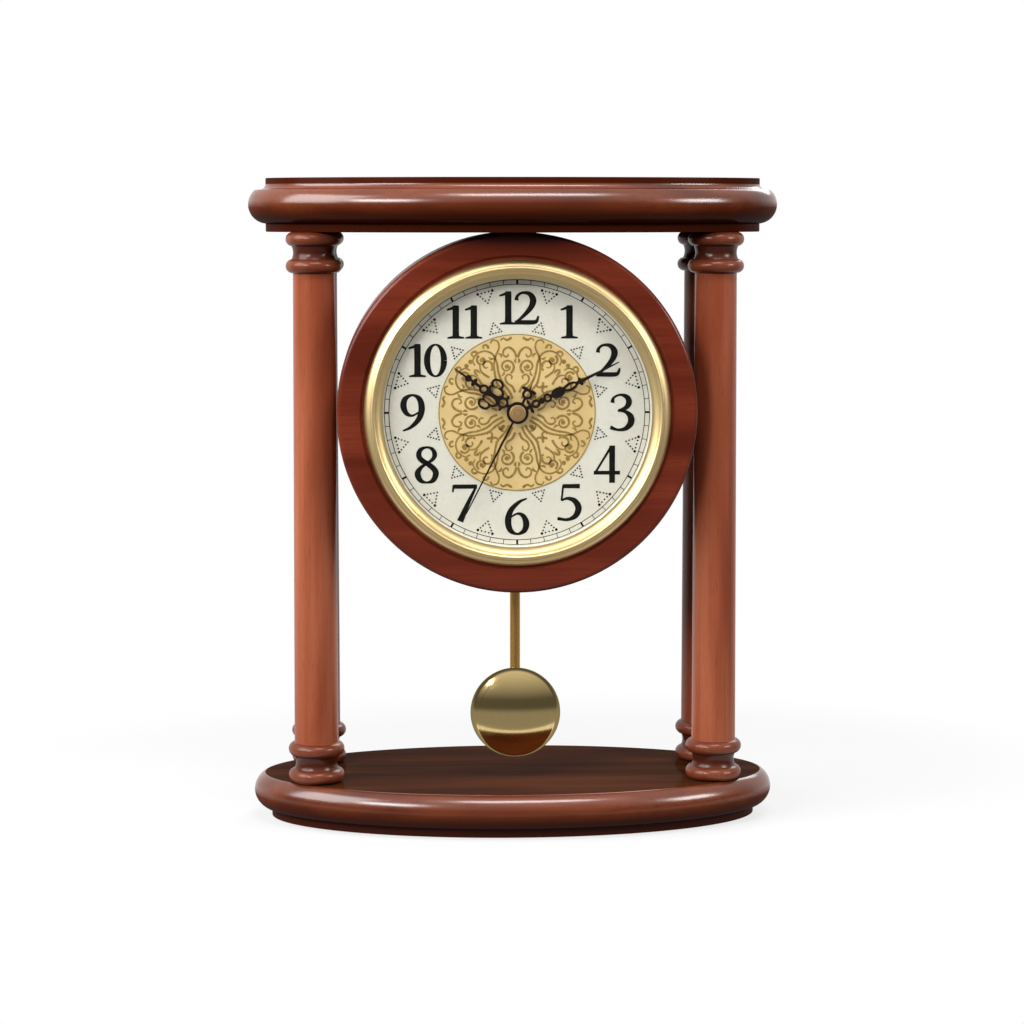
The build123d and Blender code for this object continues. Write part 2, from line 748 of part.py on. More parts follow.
# Back shell: the other half of the box, open behind the battery, drilled for the knob's arbor and the pin
with BuildPart() as movement_back_shell:
    with BuildSketch(front_plane(0, movement_back, axis_z)):
        RectangleRounded(outer_width, outer_height, shell_corner)
    extrude(amount=movement_back - shell_split)
    with BuildSketch(front_plane(0, movement_rear, axis_z)):
        RectangleRounded(inner_width, inner_height, shell_corner - shell_side_wall)
        with Locations((bay_left - bay_wall / 2, 0)):
            Rectangle(bay_wall, inner_height, mode=Mode.SUBTRACT)
    extrude(amount=movement_rear - shell_split, mode=Mode.SUBTRACT)
    with BuildSketch(front_plane(0, movement_back, axis_z)):
        with Locations((bay_left, 0)):
            Rectangle(inner_half_width - bay_left, inner_height, align=(Align.MIN, Align.CENTER))
        with Locations(motion_place):
            Circle(motion_arbor_radius + pivot_clearance)
        with Locations((0, -pivot_drop)):
            Circle(pivot_pin_radius + pivot_pin_fit)
    extrude(amount=shell_end_wall, mode=Mode.SUBTRACT)
    with BuildSketch(front_plane(0, movement_rear + pivot_depth + pivot_end_play, axis_z)):
        with Locations((0, 0), third_place, intermediate_place, rotor_place):
            Circle(pivot_radius + pivot_clearance)
    extrude(amount=pivot_depth + pivot_end_play, mode=Mode.SUBTRACT)
finish_part(movement_back_shell, "movement_back_shell")

# Circuit board with the timing chip and the quartz crystal's can
board_left = -inner_half_width + board_edge_room
board_right = bay_left - bay_wall - board_bay_room
board_foot = -inner_half_height + board_edge_room
board_rear = movement_floor + board_thickness
board_middle = board_foot + board_height / 2
with BuildPart() as circuit_board:
    with BuildSketch(front_plane(0, board_rear, axis_z)):
        with Locations(((board_left + board_right) / 2, board_middle)):
            RectangleRounded(board_right - board_left, board_height, shell_corner - shell_side_wall)
    extrude(amount=board_thickness)
finish_part(circuit_board, "circuit_board")

with BuildPart() as timing_chip:
    with BuildSketch(front_plane(chip_across, board_rear + chip_thickness, axis_z + board_middle)):
        Rectangle(chip_width, chip_height)
    extrude(amount=chip_thickness)
finish_part(timing_chip, "timing_chip")

with BuildPart() as quartz_crystal:
    with BuildSketch(Plane(origin=(crystal_across, board_rear + crystal_radius + crystal_gap,
                                   axis_z + board_middle), x_dir=(0, 1, 0), z_dir=(1, 0, 0))):
        Circle(crystal_radius)
    extrude(amount=crystal_length)
    fillet(quartz_crystal.edges().filter_by(GeomType.CIRCLE), radius=crystal_end_round)
finish_part(quartz_crystal, "quartz_crystal")

# Stator plate: a closed iron loop round the rotor whose thin left leg is the coil's core
core_left = stator_left + stator_core_inset
core_middle = core_left + stator_core / 2
coil_middle = (stator_foot + stator_bar + stator_top - stator_top_bar) / 2
with BuildPart() as stepper_stator:
    with BuildSketch(front_plane(0, stator_front + stator_thickness, axis_z)):
        with Locations((stator_left, stator_foot)):
            Rectangle(stator_right - stator_left, stator_bar, align=(Align.MIN, Align.MIN))
        with Locations((stator_right, stator_foot)):
            Rectangle(stator_leg, stator_top - stator_foot, align=(Align.MAX, Align.MIN))
        with Locations((core_left, stator_top)):
            Rectangle(stator_right - core_left, stator_top_bar, align=(Align.MIN, Align.MAX))
        with Locations((core_left, stator_foot)):
            Rectangle(stator_core, stator_top - stator_foot, align=(Align.MIN, Align.MIN))
        with Locations(rotor_place):
            Circle(rotor_radius + rotor_air_gap, mode=Mode.SUBTRACT)
    extrude(amount=stator_thickness)
finish_part(stepper_stator, "stepper_stator")

# Stepper coil: a bobbin with two flanges on the core
core_centre_y = stator_front + stator_thickness / 2
with BuildPart() as stepper_coil:
    with Locations((core_middle, core_centre_y, axis_z + coil_middle)):
        Cylinder(coil_winding_radius, coil_length)
    with Locations((core_middle, core_centre_y, axis_z + coil_middle + coil_length / 2)):
        Cylinder(coil_radius, coil_flange, align=(Align.CENTER, Align.CENTER, Align.MAX))
    with Locations((core_middle, core_centre_y, axis_z + coil_middle - coil_length / 2)):
        Cylinder(coil_radius, coil_flange, align=(Align.CENTER, Align.CENTER, Align.MIN))
    with Locations((core_middle, core_centre_y, axis_z + coil_middle)):
        Box(stator_core + coil_core_clearance, stator_thickness + coil_core_clearance, coil_length,
            mode=Mode.SUBTRACT)
finish_part(stepper_coil, "stepper_coil")

# Coil that drives the pendulum's magnet, on the inside of the back shell
magnet_z = pivot_z - magnet_drop
with BuildPart() as pendulum_coil:
    with BuildSketch(front_plane(0, movement_rear, magnet_z)):
        Circle(drive_coil_radius)
        Circle(drive_coil_bore, mode=Mode.SUBTRACT)
    extrude(amount=drive_coil_height)
finish_part(pendulum_coil, "pendulum_coil")

# Battery and its two contacts, a plate above and a bent leaf below
battery_can_length = battery_length - battery_nub_height
with BuildPart() as battery:
    with Locations((battery_x, battery_y, axis_z + battery_foot)):
        Cylinder(battery_radius, battery_can_length, align=(Align.CENTER, Align.CENTER, Align.MIN))
    with Locations((battery_x, battery_y, axis_z + battery_foot + battery_can_length)):
        Cylinder(battery_nub_radius, battery_nub_height, align=(Align.CENTER, Align.CENTER, Align.MIN))
finish_part(battery, "battery")

with BuildPart() as contact_positive:
    with Locations((battery_x, battery_y, axis_z + inner_half_height)):
        Box(contact_width, contact_depth, contact_thickness, align=(Align.CENTER, Align.CENTER, Align.MAX))
finish_part(contact_positive, "contact_positive")

leaf_foot = -inner_half_height
leaf_left = battery_x - contact_width / 2
leaf_right = battery_x + contact_width / 2
leaf_top = leaf_foot + leaf_height
with BuildPart() as contact_negative:
    with BuildSketch(front_plane(0, battery_y + contact_depth / 2, axis_z)):
        with BuildLine():
            Polyline((leaf_left, leaf_foot), (leaf_right, leaf_foot),
                     (leaf_right, leaf_foot + 2 * leaf_thickness),
                     (leaf_left + leaf_thickness, leaf_top), (leaf_left, leaf_top - leaf_thickness),
                     (leaf_right - 3 * leaf_thickness, leaf_foot + leaf_thickness),
                     (leaf_left, leaf_foot + leaf_thickness), close=True)
        make_face()
    extrude(amount=contact_depth)
finish_part(contact_negative, "contact_negative")


def toothed_disc(place, front, thickness, teeth, distance, mate_teeth, is_pinion, toward, windows=0):
    """Adds a toothed disc to the piece being built, four straight sides to a tooth and radial flanks.

    The module comes from the centre distance and the two counts. A wheel has a tooth on the line to its
    mate, in the direction toward (degrees), and a pinion a gap there, so that a pair is in mesh at rest.
    """
    module = 2 * distance / (teeth + mate_teeth)
    pitch_radius = module * teeth / 2
    share = pinion_tooth_share if is_pinion else wheel_tooth_share
    tip_share = pinion_tip_share if is_pinion else wheel_tip_share
    tip_radius = pitch_radius + module * (pinion_addendum if is_pinion else wheel_addendum)
    root_radius = pitch_radius - module * dedendum
    corners = [(-share / 2, root_radius), (-share / 2, pitch_radius), (-tip_share / 2, tip_radius),
               (tip_share / 2, tip_radius), (share / 2, pitch_radius), (share / 2, root_radius)]
    step = 2 * pi / teeth
    first = radians(toward) + (step / 2 if is_pinion else 0)
    points = [(radius * cos(first + step * (tooth + turn)), radius * sin(first + step * (tooth + turn)))
              for tooth in range(teeth) for turn, radius in corners]
    window_radius = root_radius * (1 - spoke_window_share) / 2
    with BuildSketch(front_plane(place[0], front + thickness, axis_z + place[1])) as disc:
        with BuildLine():
            Polyline(*points, close=True)
        make_face()
        if windows:
            with PolarLocations(root_radius * spoke_window_share, windows):
                Circle(window_radius, mode=Mode.SUBTRACT)
    extrude(disc.sketch, amount=thickness)


def round_rod(place, radius, front, back, mode=Mode.ADD):
    """Adds or cuts a round rod parallel to the dial's axis, from its front end to its back end."""
    with BuildSketch(front_plane(place[0], back, axis_z + place[1])) as section:
        Circle(radius)
    extrude(section.sketch, amount=back - front, mode=mode)


def pivoted_arbor(place, radius, front, back):
    """Adds an arbor between the two shell walls with a thinner pivot at each end that is asked for."""
    if front is None:
        round_rod(place, pivot_radius, movement_floor - pivot_depth, movement_floor + pivot_end_play)
        front = movement_floor + pivot_end_play
    if back is None:
        round_rod(place, pivot_radius, movement_rear - pivot_end_play, movement_rear + pivot_depth)
        back = movement_rear - pivot_end_play
    round_rod(place, radius, front, back)


# Hour wheel: wheel and tube in one, running on the minute tube
with BuildPart() as hour_wheel:
    toothed_disc((0, 0), hour_layer, wheel_thickness, hour_teeth, centre_distance, motion_pinion_leaves,
                 False, motion_bearing)
    round_rod((0, 0), hour_tube_radius, hour_hand_front, hour_layer)
    round_rod((0, 0), hour_bore_radius, hour_hand_front, hour_layer + wheel_thickness, Mode.SUBTRACT)
finish_part(hour_wheel, "hour_wheel")

# Motion wheel: takes the minute pinion's turn to the hour wheel, and carries the setting knob behind
motion_arbor_back = movement_back + knob_gap + knob_grip
with BuildPart() as motion_wheel:
    toothed_disc(motion_place, motion_layer, wheel_thickness, motion_teeth, centre_distance,
                 minute_pinion_leaves, False, motion_bearing + 180, windows=side_wheel_windows)
    toothed_disc(motion_place, hour_layer, motion_layer - hour_layer, motion_pinion_leaves, centre_distance,
                 hour_teeth, True, motion_bearing + 180)
    pivoted_arbor(motion_place, motion_arbor_radius, None, motion_arbor_back)
finish_part(motion_wheel, "motion_wheel")

# Minute wheel: its tube carries the minute hand and runs on the second arbor
with BuildPart() as minute_wheel:
    toothed_disc((0, 0), minute_layer, wheel_thickness, minute_teeth, centre_distance, third_pinion_leaves,
                 False, third_bearing, windows=centre_wheel_windows)
    toothed_disc((0, 0), motion_layer - pinion_overreach, minute_layer - motion_layer + pinion_overreach,
                 minute_pinion_leaves, centre_distance, motion_teeth, True, motion_bearing)
    round_rod((0, 0), minute_tube_radius, minute_hand_front, motion_layer)
    round_rod((0, 0), minute_bore_radius, minute_hand_front, minute_layer + wheel_thickness, Mode.SUBTRACT)
finish_part(minute_wheel, "minute_wheel")

# Third wheel, between the second pinion and the minute wheel
with BuildPart() as third_wheel:
    toothed_disc(third_place, third_layer, wheel_thickness, third_teeth, centre_distance,
                 second_pinion_leaves, False, third_bearing + 180, windows=side_wheel_windows)
    toothed_disc(third_place, minute_layer - pinion_overreach,
                 third_layer - minute_layer + pinion_overreach, third_pinion_leaves, centre_distance,
                 minute_teeth, True, third_bearing + 180)
    pivoted_arbor(third_place, arbor_radius, None, None)
finish_part(third_wheel, "third_wheel")

# Second wheel: its long arbor runs through the tubes to the second hand
with BuildPart() as second_wheel:
    toothed_disc((0, 0), second_layer, wheel_thickness, second_teeth, centre_distance,
                 intermediate_pinion_leaves, False, intermediate_bearing, windows=centre_wheel_windows)
    toothed_disc((0, 0), third_layer - pinion_overreach, second_layer - third_layer + pinion_overreach,
                 second_pinion_leaves, centre_distance, third_teeth, True, third_bearing)
    pivoted_arbor((0, 0), arbor_radius, second_hand_front, None)
finish_part(second_wheel, "second_wheel")

# Intermediate wheel, between the rotor and the second wheel
with BuildPart() as intermediate_wheel:
    toothed_disc(intermediate_place, intermediate_layer, wheel_thickness, intermediate_teeth,
                 rotor_distance, rotor_pinion_leaves, False, rotor_bearing, windows=side_wheel_windows)
    toothed_disc(intermediate_place, second_layer - pinion_overreach,
                 intermediate_layer - second_layer + pinion_overreach, intermediate_pinion_leaves,
                 centre_distance, second_teeth, True, intermediate_bearing - 180)
    pivoted_arbor(intermediate_place, arbor_radius, None, None)
finish_part(intermediate_wheel, "intermediate_wheel")

# Rotor: pinion and arbor in one, with a round magnet in the stator's hole
rotor_front = core_centre_y - rotor_length / 2
with BuildPart() as rotor_pinion:
    toothed_disc(rotor_place, intermediate_layer - pinion_overreach, wheel_thickness + 2 * pinion_overreach,
                 rotor_pinion_leaves, rotor_distance, intermediate_teeth, True, rotor_bearing - 180)
    pivoted_arbor(rotor_place, arbor_radius, None, None)
finish_part(rotor_pinion, "rotor_pinion")

with BuildPart() as rotor_magnet:
    round_rod(rotor_place, rotor_radius, rotor_front, rotor_front + rotor_length)
    round_rod(rotor_place, arbor_radius + hand_hub_clearance, rotor_front, rotor_front + rotor_length,
              Mode.SUBTRACT)
finish_part(rotor_magnet, "rotor_magnet")

# Setting knob: a fluted plastic knob pressed on the end of the motion arbor
knob_front = movement_back + knob_gap
with BuildPart() as setting_knob:
    with BuildSketch(front_plane(motion_place[0], knob_front + knob_height, axis_z + motion_place[1])):
        Circle(knob_radius)
        with PolarLocations(knob_radius, knob_flutes):
            Circle(knob_flute_radius, mode=Mode.SUBTRACT)
    extrude(amount=knob_height)
    round_rod(motion_place, motion_arbor_radius + hand_hub_clearance, knob_front,
              motion_arbor_back + hand_hub_clearance, Mode.SUBTRACT)
finish_part(setting_knob, "setting_knob")

# Hour hand: pierced loops and spurs in front of the boss, then a collar, a knob and a needle
with BuildPart() as hour_hand:
    with BuildSketch(hand_plane(hour_hand_front, hour_turn)):
        Circle(hour_boss_radius)
        with Locations((0, hour_ring_reach)):
            Circle(hour_ring_radius)
        with Locations((-hour_spur_spread, hour_spur_reach), (hour_spur_spread, hour_spur_reach)):
            Ellipse(hour_spur_half, hour_spur_half / 2)
        with Locations((-hour_oval_spread, hour_oval_reach), (hour_oval_spread, hour_oval_reach)):
            Ellipse(hour_oval_half_width, hour_oval_half_length)
        with Locations((-hour_lobe_spread, hour_lobe_reach), (hour_lobe_spread, hour_lobe_reach)):
            Ellipse(hour_lobe_half_width, hour_lobe_half_length)
        with Locations((0, hour_eye_reach)):
            Circle(hour_eye_radius)
        with Locations((0, hour_collar_reach)):
            Ellipse(hour_collar_half, hour_collar_half / 2)
        with Locations((0, hour_knob_reach)):
            Ellipse(hour_knob_half, hour_knob_half)
        Polygon((-needle_half_width, 0), (needle_half_width, 0), (needle_half_width, hour_eye_reach),
                (needle_tip_half, hour_hand_length), (-needle_tip_half, hour_hand_length),
                (-needle_half_width, hour_eye_reach), align=None)
        with Locations((0, hour_ring_reach)):
            Circle(hour_ring_radius - hand_line, mode=Mode.SUBTRACT)
        with Locations((-hour_lobe_spread, hour_lobe_reach), (hour_lobe_spread, hour_lobe_reach)):
            Ellipse(hour_lobe_half_width - hand_line, hour_lobe_half_length - hand_line,
                    mode=Mode.SUBTRACT)
        with Locations((-hour_oval_spread, hour_oval_reach), (hour_oval_spread, hour_oval_reach)):
            Ellipse(hour_oval_half_width - hand_line, hour_oval_half_length - hand_line,
                    mode=Mode.SUBTRACT)
        with Locations((0, hour_eye_reach)):
            Circle(hour_eye_radius - hand_line, mode=Mode.SUBTRACT)
        Circle(hour_tube_radius + hand_hub_clearance, mode=Mode.SUBTRACT)
    extrude(amount=hand_thickness)
finish_part(hour_hand, "hour_hand")

# Minute hand: two small rings and a bead, a leaf-shaped body, a long loop, a collar and a needle
with BuildPart() as minute_hand:
    with BuildSketch(hand_plane(minute_hand_front, minute_turn)):
        Circle(minute_boss_radius)
        with Locations((-minute_spur_spread, minute_spur_reach), (minute_spur_spread, minute_spur_reach)):
            Ellipse(minute_bead_half, minute_bead_half / 2)
        with Locations((0, minute_ring_reach), (0, minute_second_ring_reach)):
            Circle(minute_ring_radius)
        with Locations((0, minute_bead_reach)):
            Ellipse(minute_bead_half, minute_bead_half)
        with Locations((0, minute_leaf_reach)):
            Ellipse(minute_leaf_half_width, minute_leaf_half_length)
        with Locations((0, minute_loop_reach)):
            Ellipse(minute_loop_half_width, minute_loop_half_length)
        with Locations((0, minute_collar_reach)):
            Ellipse(minute_collar_half, minute_collar_half / 2)
        Polygon((-needle_half_width, 0), (needle_half_width, 0), (needle_half_width, minute_collar_reach),
                (needle_tip_half, minute_hand_length), (-needle_tip_half, minute_hand_length),
                (-needle_half_width, minute_collar_reach), align=None)
        with Locations((0, minute_ring_reach), (0, minute_second_ring_reach)):
            Circle(minute_ring_radius - hand_line, mode=Mode.SUBTRACT)
        with Locations((0, minute_loop_reach)):
            Ellipse(minute_loop_half_width - hand_line, minute_loop_half_length - hand_line,
                    mode=Mode.SUBTRACT)
        Circle(minute_tube_radius + hand_hub_clearance, mode=Mode.SUBTRACT)
    extrude(amount=hand_thickness)
finish_part(minute_hand, "minute_hand")

# Second hand: a thin stick, a round boss and a short tail that ends in a loop and a point
with BuildPart() as second_hand:
    with BuildSketch(hand_plane(second_hand_front, second_turn)):
        Circle(second_boss_radius)
        Polygon((-second_tail_half, -second_loop_reach), (second_tail_half, -second_loop_reach),
                (needle_tip_half, second_hand_length), (-needle_tip_half, second_hand_length), align=None)
        with Locations((0, -second_loop_reach)):
            Circle(second_loop_radius)
        with Locations((-second_horn_spread, -second_loop_reach - second_horn_spread),
                       (second_horn_spread, -second_loop_reach - second_horn_spread)):
            Ellipse(second_horn_half, second_horn_half / 2)
        Polygon((-second_tail_half, -second_loop_reach - second_horn_half), (0, -second_tail_length),
                (second_tail_half, -second_loop_reach - second_horn_half), align=None)
        with Locations((0, -second_loop_reach)):
            Circle(second_loop_radius - hand_line, mode=Mode.SUBTRACT)
        Circle(arbor_radius + hand_hub_clearance, mode=Mode.SUBTRACT)
    extrude(amount=hand_thickness)
finish_part(second_hand, "second_hand")

# Brass cap on the boss of the second hand, a low round button
with BuildPart() as second_hand_cap:
    with BuildSketch(front_plane(0, second_hand_front, axis_z)):
        Circle(cap_radius)
    extrude(amount=cap_height)
    fillet(second_hand_cap.edges().sort_by(Axis.Y)[0], radius=cap_round)
finish_part(second_hand_cap, "second_hand_cap")

# Pin that the pendulum swings on, pressed into the back shell
with BuildPart() as pendulum_pivot_pin:
    round_rod((0, -pivot_drop), pivot_pin_radius, movement_rear,
              arm_back + hook_gap + pivot_pin_head_height)
    round_rod((0, -pivot_drop), pivot_pin_head_radius, arm_back + hook_gap,
              arm_back + hook_gap + pivot_pin_head_height)
finish_part(pendulum_pivot_pin, "pendulum_pivot_pin")

# Pendulum arm: boss on the pin, round seat for the magnet, peg for the hook at its foot
with BuildPart() as pendulum_arm:
    with BuildSketch(front_plane(0, arm_back, pivot_z)):
        Circle(arm_boss_radius)
        Rectangle(arm_width, arm_length, align=(Align.CENTER, Align.MAX))
        with Locations((0, -magnet_drop)):
            Circle(magnet_radius + magnet_wall)
        with Locations((0, -arm_length)):
            Circle(arm_width / 2)
    extrude(amount=arm_thickness)
    round_rod((0, -pivot_drop), pivot_pin_radius + pivot_pin_clearance, arm_front, arm_back, Mode.SUBTRACT)
    round_rod((0, -pivot_drop - magnet_drop), magnet_radius + hand_hub_clearance, arm_front,
              arm_front + magnet_thickness, Mode.SUBTRACT)
    round_rod((0, -pivot_drop - arm_length), peg_radius, arm_back, arm_back + peg_length)
    round_rod((0, -pivot_drop - arm_length), peg_head_radius, arm_back + peg_length - peg_head_height,
              arm_back + peg_length)
finish_part(pendulum_arm, "pendulum_arm")

with BuildPart() as pendulum_magnet:
    round_rod((0, -pivot_drop - magnet_drop), magnet_radius, arm_front, arm_front + magnet_thickness)
finish_part(pendulum_magnet, "pendulum_magnet")

# Hook strip: an eye on the peg and a flat tongue crimped into the top of the rod
with BuildPart() as pendulum_hook:
    with BuildSketch(front_plane(0, hook_front + hook_thickness, peg_z)):
        Circle(hook_eye_radius)
        Rectangle(hook_width, rod_top_drop + hook_in_rod, align=(Align.CENTER, Align.MAX))
        Circle(peg_radius + fit_clearance, mode=Mode.SUBTRACT)
    extrude(amount=hook_thickness)
finish_part(pendulum_hook, "pendulum_hook")

# Rod: a thin brass tube down to the lower part of the bob
rod_length = rod_top_z - (bob_z - rod_tail)
with BuildPart() as pendulum_rod:
    with Locations((0, rod_y, rod_top_z)):
        Cylinder(rod_radius, rod_length, align=(Align.CENTER, Align.CENTER, Align.MAX))
        Cylinder(rod_radius - rod_wall, rod_length, align=(Align.CENTER, Align.CENTER, Align.MAX),
                 mode=Mode.SUBTRACT)
finish_part(pendulum_rod, "pendulum_rod")

# Bob: a spun brass dome with a flat rim in front of a brass disc
bob_axis = Axis((0, 0, bob_z), (0, 1, 0))
bob_rim_front = bob_back_front - bob_sheet
bob_outer_rim = (bob_dome_radius, bob_rim_front)
bob_inner_rim = (bob_dome_radius - bob_sheet, bob_back_front)
bob_crown = bob_rim_front - bob_rise
with BuildPart() as bob_front:
    with BuildSketch(Plane.XY.offset(bob_z)):
        with BuildLine():
            ThreePointArc((0, bob_crown), dome_middle(bob_outer_rim, bob_crown), bob_outer_rim)
            Polyline(bob_outer_rim, (bob_radius, bob_rim_front), (bob_radius, bob_back_front),
                     bob_inner_rim)
            ThreePointArc(bob_inner_rim, dome_middle(bob_inner_rim, bob_crown + bob_sheet),
                          (0, bob_crown + bob_sheet))
            Line((0, bob_crown + bob_sheet), (0, bob_crown))
        make_face()
    revolve(axis=bob_axis)
finish_part(bob_front, "bob_front")

with BuildPart() as bob_back:
    with BuildSketch(front_plane(0, bob_back_rear, bob_z)):
        Circle(bob_radius - bob_back_inset)
    extrude(amount=bob_sheet)
finish_part(bob_back, "bob_back")

# Clip behind the bob: a strap bent round the rod, with a flange on each side
clip_bore_radius = rod_radius + seat_play
with BuildPart() as bob_clip:
    with BuildSketch(Plane.XY.offset(bob_z - clip_length / 2)):
        with Locations((0, rod_y)):
            Circle(clip_bore_radius + clip_sheet)
        with Locations((0, bob_back_rear)):
            Rectangle(2 * (clip_bore_radius + clip_sheet), rod_radius, align=(Align.CENTER, Align.MIN))
            Rectangle(2 * clip_half_width, clip_sheet, align=(Align.CENTER, Align.MIN))
        with Locations((0, rod_y)):
            Circle(clip_bore_radius, mode=Mode.SUBTRACT)
            Rectangle(2 * clip_bore_radius, 2 * rod_radius, align=(Align.CENTER, Align.MAX),
                      mode=Mode.SUBTRACT)
    extrude(amount=clip_length)
    with BuildSketch(front_plane(0, rod_y + 2 * rod_radius, bob_z)):
        Rectangle(4 * clip_half_width, 2 * clip_length)
    extrude(amount=2 * rod_radius - (bob_back_rear - rod_y), mode=Mode.INTERSECT)
finish_part(bob_clip, "bob_clip")

# Back cover: disc in the drum's rebate, skirt inside the drum, nail notch at the lower edge
cover_radius = cover_rebate_radius - cover_clearance
cover_front = cover_rebate_floor
skirt_radius = drum_bore_radius - cover_skirt_clearance
with BuildPart() as back_cover:
    with BuildSketch(front_plane(0, cover_front + cover_thickness, axis_z)):
        Circle(cover_radius)
        with Locations((0, -cover_radius - cover_notch_radius + cover_notch_depth)):
            Circle(cover_notch_radius, mode=Mode.SUBTRACT)
    extrude(amount=cover_thickness)
    with BuildSketch(front_plane(0, cover_front, axis_z)):
        Circle(skirt_radius)
        Circle(skirt_radius - cover_skirt_wall, mode=Mode.SUBTRACT)
    extrude(amount=cover_skirt_length)
finish_part(back_cover, "back_cover")
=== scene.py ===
import bmesh
import bpy
import numpy as np
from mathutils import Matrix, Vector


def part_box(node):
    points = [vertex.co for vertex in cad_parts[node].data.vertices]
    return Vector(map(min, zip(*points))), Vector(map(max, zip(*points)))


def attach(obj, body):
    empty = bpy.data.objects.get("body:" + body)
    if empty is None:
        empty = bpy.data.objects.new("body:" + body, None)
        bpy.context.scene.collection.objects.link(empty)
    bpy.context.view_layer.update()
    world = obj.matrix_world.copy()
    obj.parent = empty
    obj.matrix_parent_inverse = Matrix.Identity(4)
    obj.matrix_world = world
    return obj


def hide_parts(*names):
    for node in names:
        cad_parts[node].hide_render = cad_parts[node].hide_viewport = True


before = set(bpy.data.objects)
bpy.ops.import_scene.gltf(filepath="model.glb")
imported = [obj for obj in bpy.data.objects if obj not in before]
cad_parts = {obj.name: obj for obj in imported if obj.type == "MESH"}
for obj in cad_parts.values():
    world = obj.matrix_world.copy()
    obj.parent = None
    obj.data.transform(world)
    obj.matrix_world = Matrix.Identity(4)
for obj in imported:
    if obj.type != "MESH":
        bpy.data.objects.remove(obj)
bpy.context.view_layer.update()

# Base plate: an oval mahogany board with a half-round moulded edge, planed flat on top and set on a thin
# plinth. The edge is lacquered to a gloss, and the flat deck between the columns is rubbed down to satin.
base_low, base_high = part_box("base_plate")
nosing_overhang = 0.00785
nosing_radius = 0.0086
nosing_first_degrees = -80
nosing_steps = 33
lip_height = 0.0036
edge_ease = 0.0004
edge_ease_degrees = 3.0
oval_steps = 288
flat_row_shares = (0.995, 0.8, 0.5)
weld_distance = 1e-7
crisp_edge_degrees = 25
board_stain = ("#803d20", "#58230e")
# The deck's darker tone is partly its own stain and partly painted shade under the top plate and the case
deck_stain_and_shade = ("#552d18", "#391d0e")
# Stain clouds, grain streaks and pores: width, length, noise detail, the noise's ends and the strength. The
# pores are drawn about twice as wide as they are, so that they show
mahogany_figure = ((0.016, 0.14, 2.0, 0.35, 0.65, 1.0),
                   (0.0014, 0.07, 3.0, 0.45, 0.75, 0.45),
                   (0.0005, 0.008, 1.0, 0.58, 0.75, 0.2))
pore_colour = "#35130b"
pore_depth = 0.00004
wood_roughness = 0.4
pore_roughness = 0.7
# Painted shade: a dark colour laid over the stain where shade falls, on the lips and lower half-round edges,
# the top lip, the columns' ends and the back columns' shafts. The lacquer is dulled there too
painted_shade_colour = "#45190b"
painted_shade_start = 1.2
painted_shade_reach = 0.9
painted_shade_dulls_at = 0.4
edge_painted_shade_gloss = 0.08


def to_linear(hex_colour):
    """Linear colour of an sRGB hex value, by the two-part sRGB curve, with alpha 1."""
    shares = np.array([int(hex_colour[place:place + 2], 16) for place in (1, 3, 5)]) / 255
    linear = np.where(shares <= 0.04045, shares / 12.92, ((shares + 0.055) / 1.055) ** 2.4)
    return (*linear.tolist(), 1.0)


def add(tree, kind, inputs=None, **settings):
    """Adds a node with its settings. An input that is a socket is linked, one that is a node is linked to its
    first output in use, and any other value is set. Inputs go by name, or by number where names repeat: a mix
    has its share at 0, its values at 2 and 3 and its colours at 6 and 7."""
    node = tree.nodes.new("ShaderNode" + kind)
    for name, value in settings.items():
        setattr(node, name, value)
    for name, value in (inputs or {}).items():
        if isinstance(value, bpy.types.Node):
            value = next(output for output in value.outputs if output.enabled)
        if isinstance(value, bpy.types.NodeSocket):
            tree.links.new(value, node.inputs[name])
        else:
            node.inputs[name].default_value = value
    return node


def new_material(name):
    """Material with an empty node tree, that tree and its Object coordinates."""
    material = bpy.data.materials.new(name)
    material.use_nodes = True
    material.node_tree.nodes.clear()
    place = add(material.node_tree, "TexCoord").outputs["Object"]
    return material, material.node_tree, place


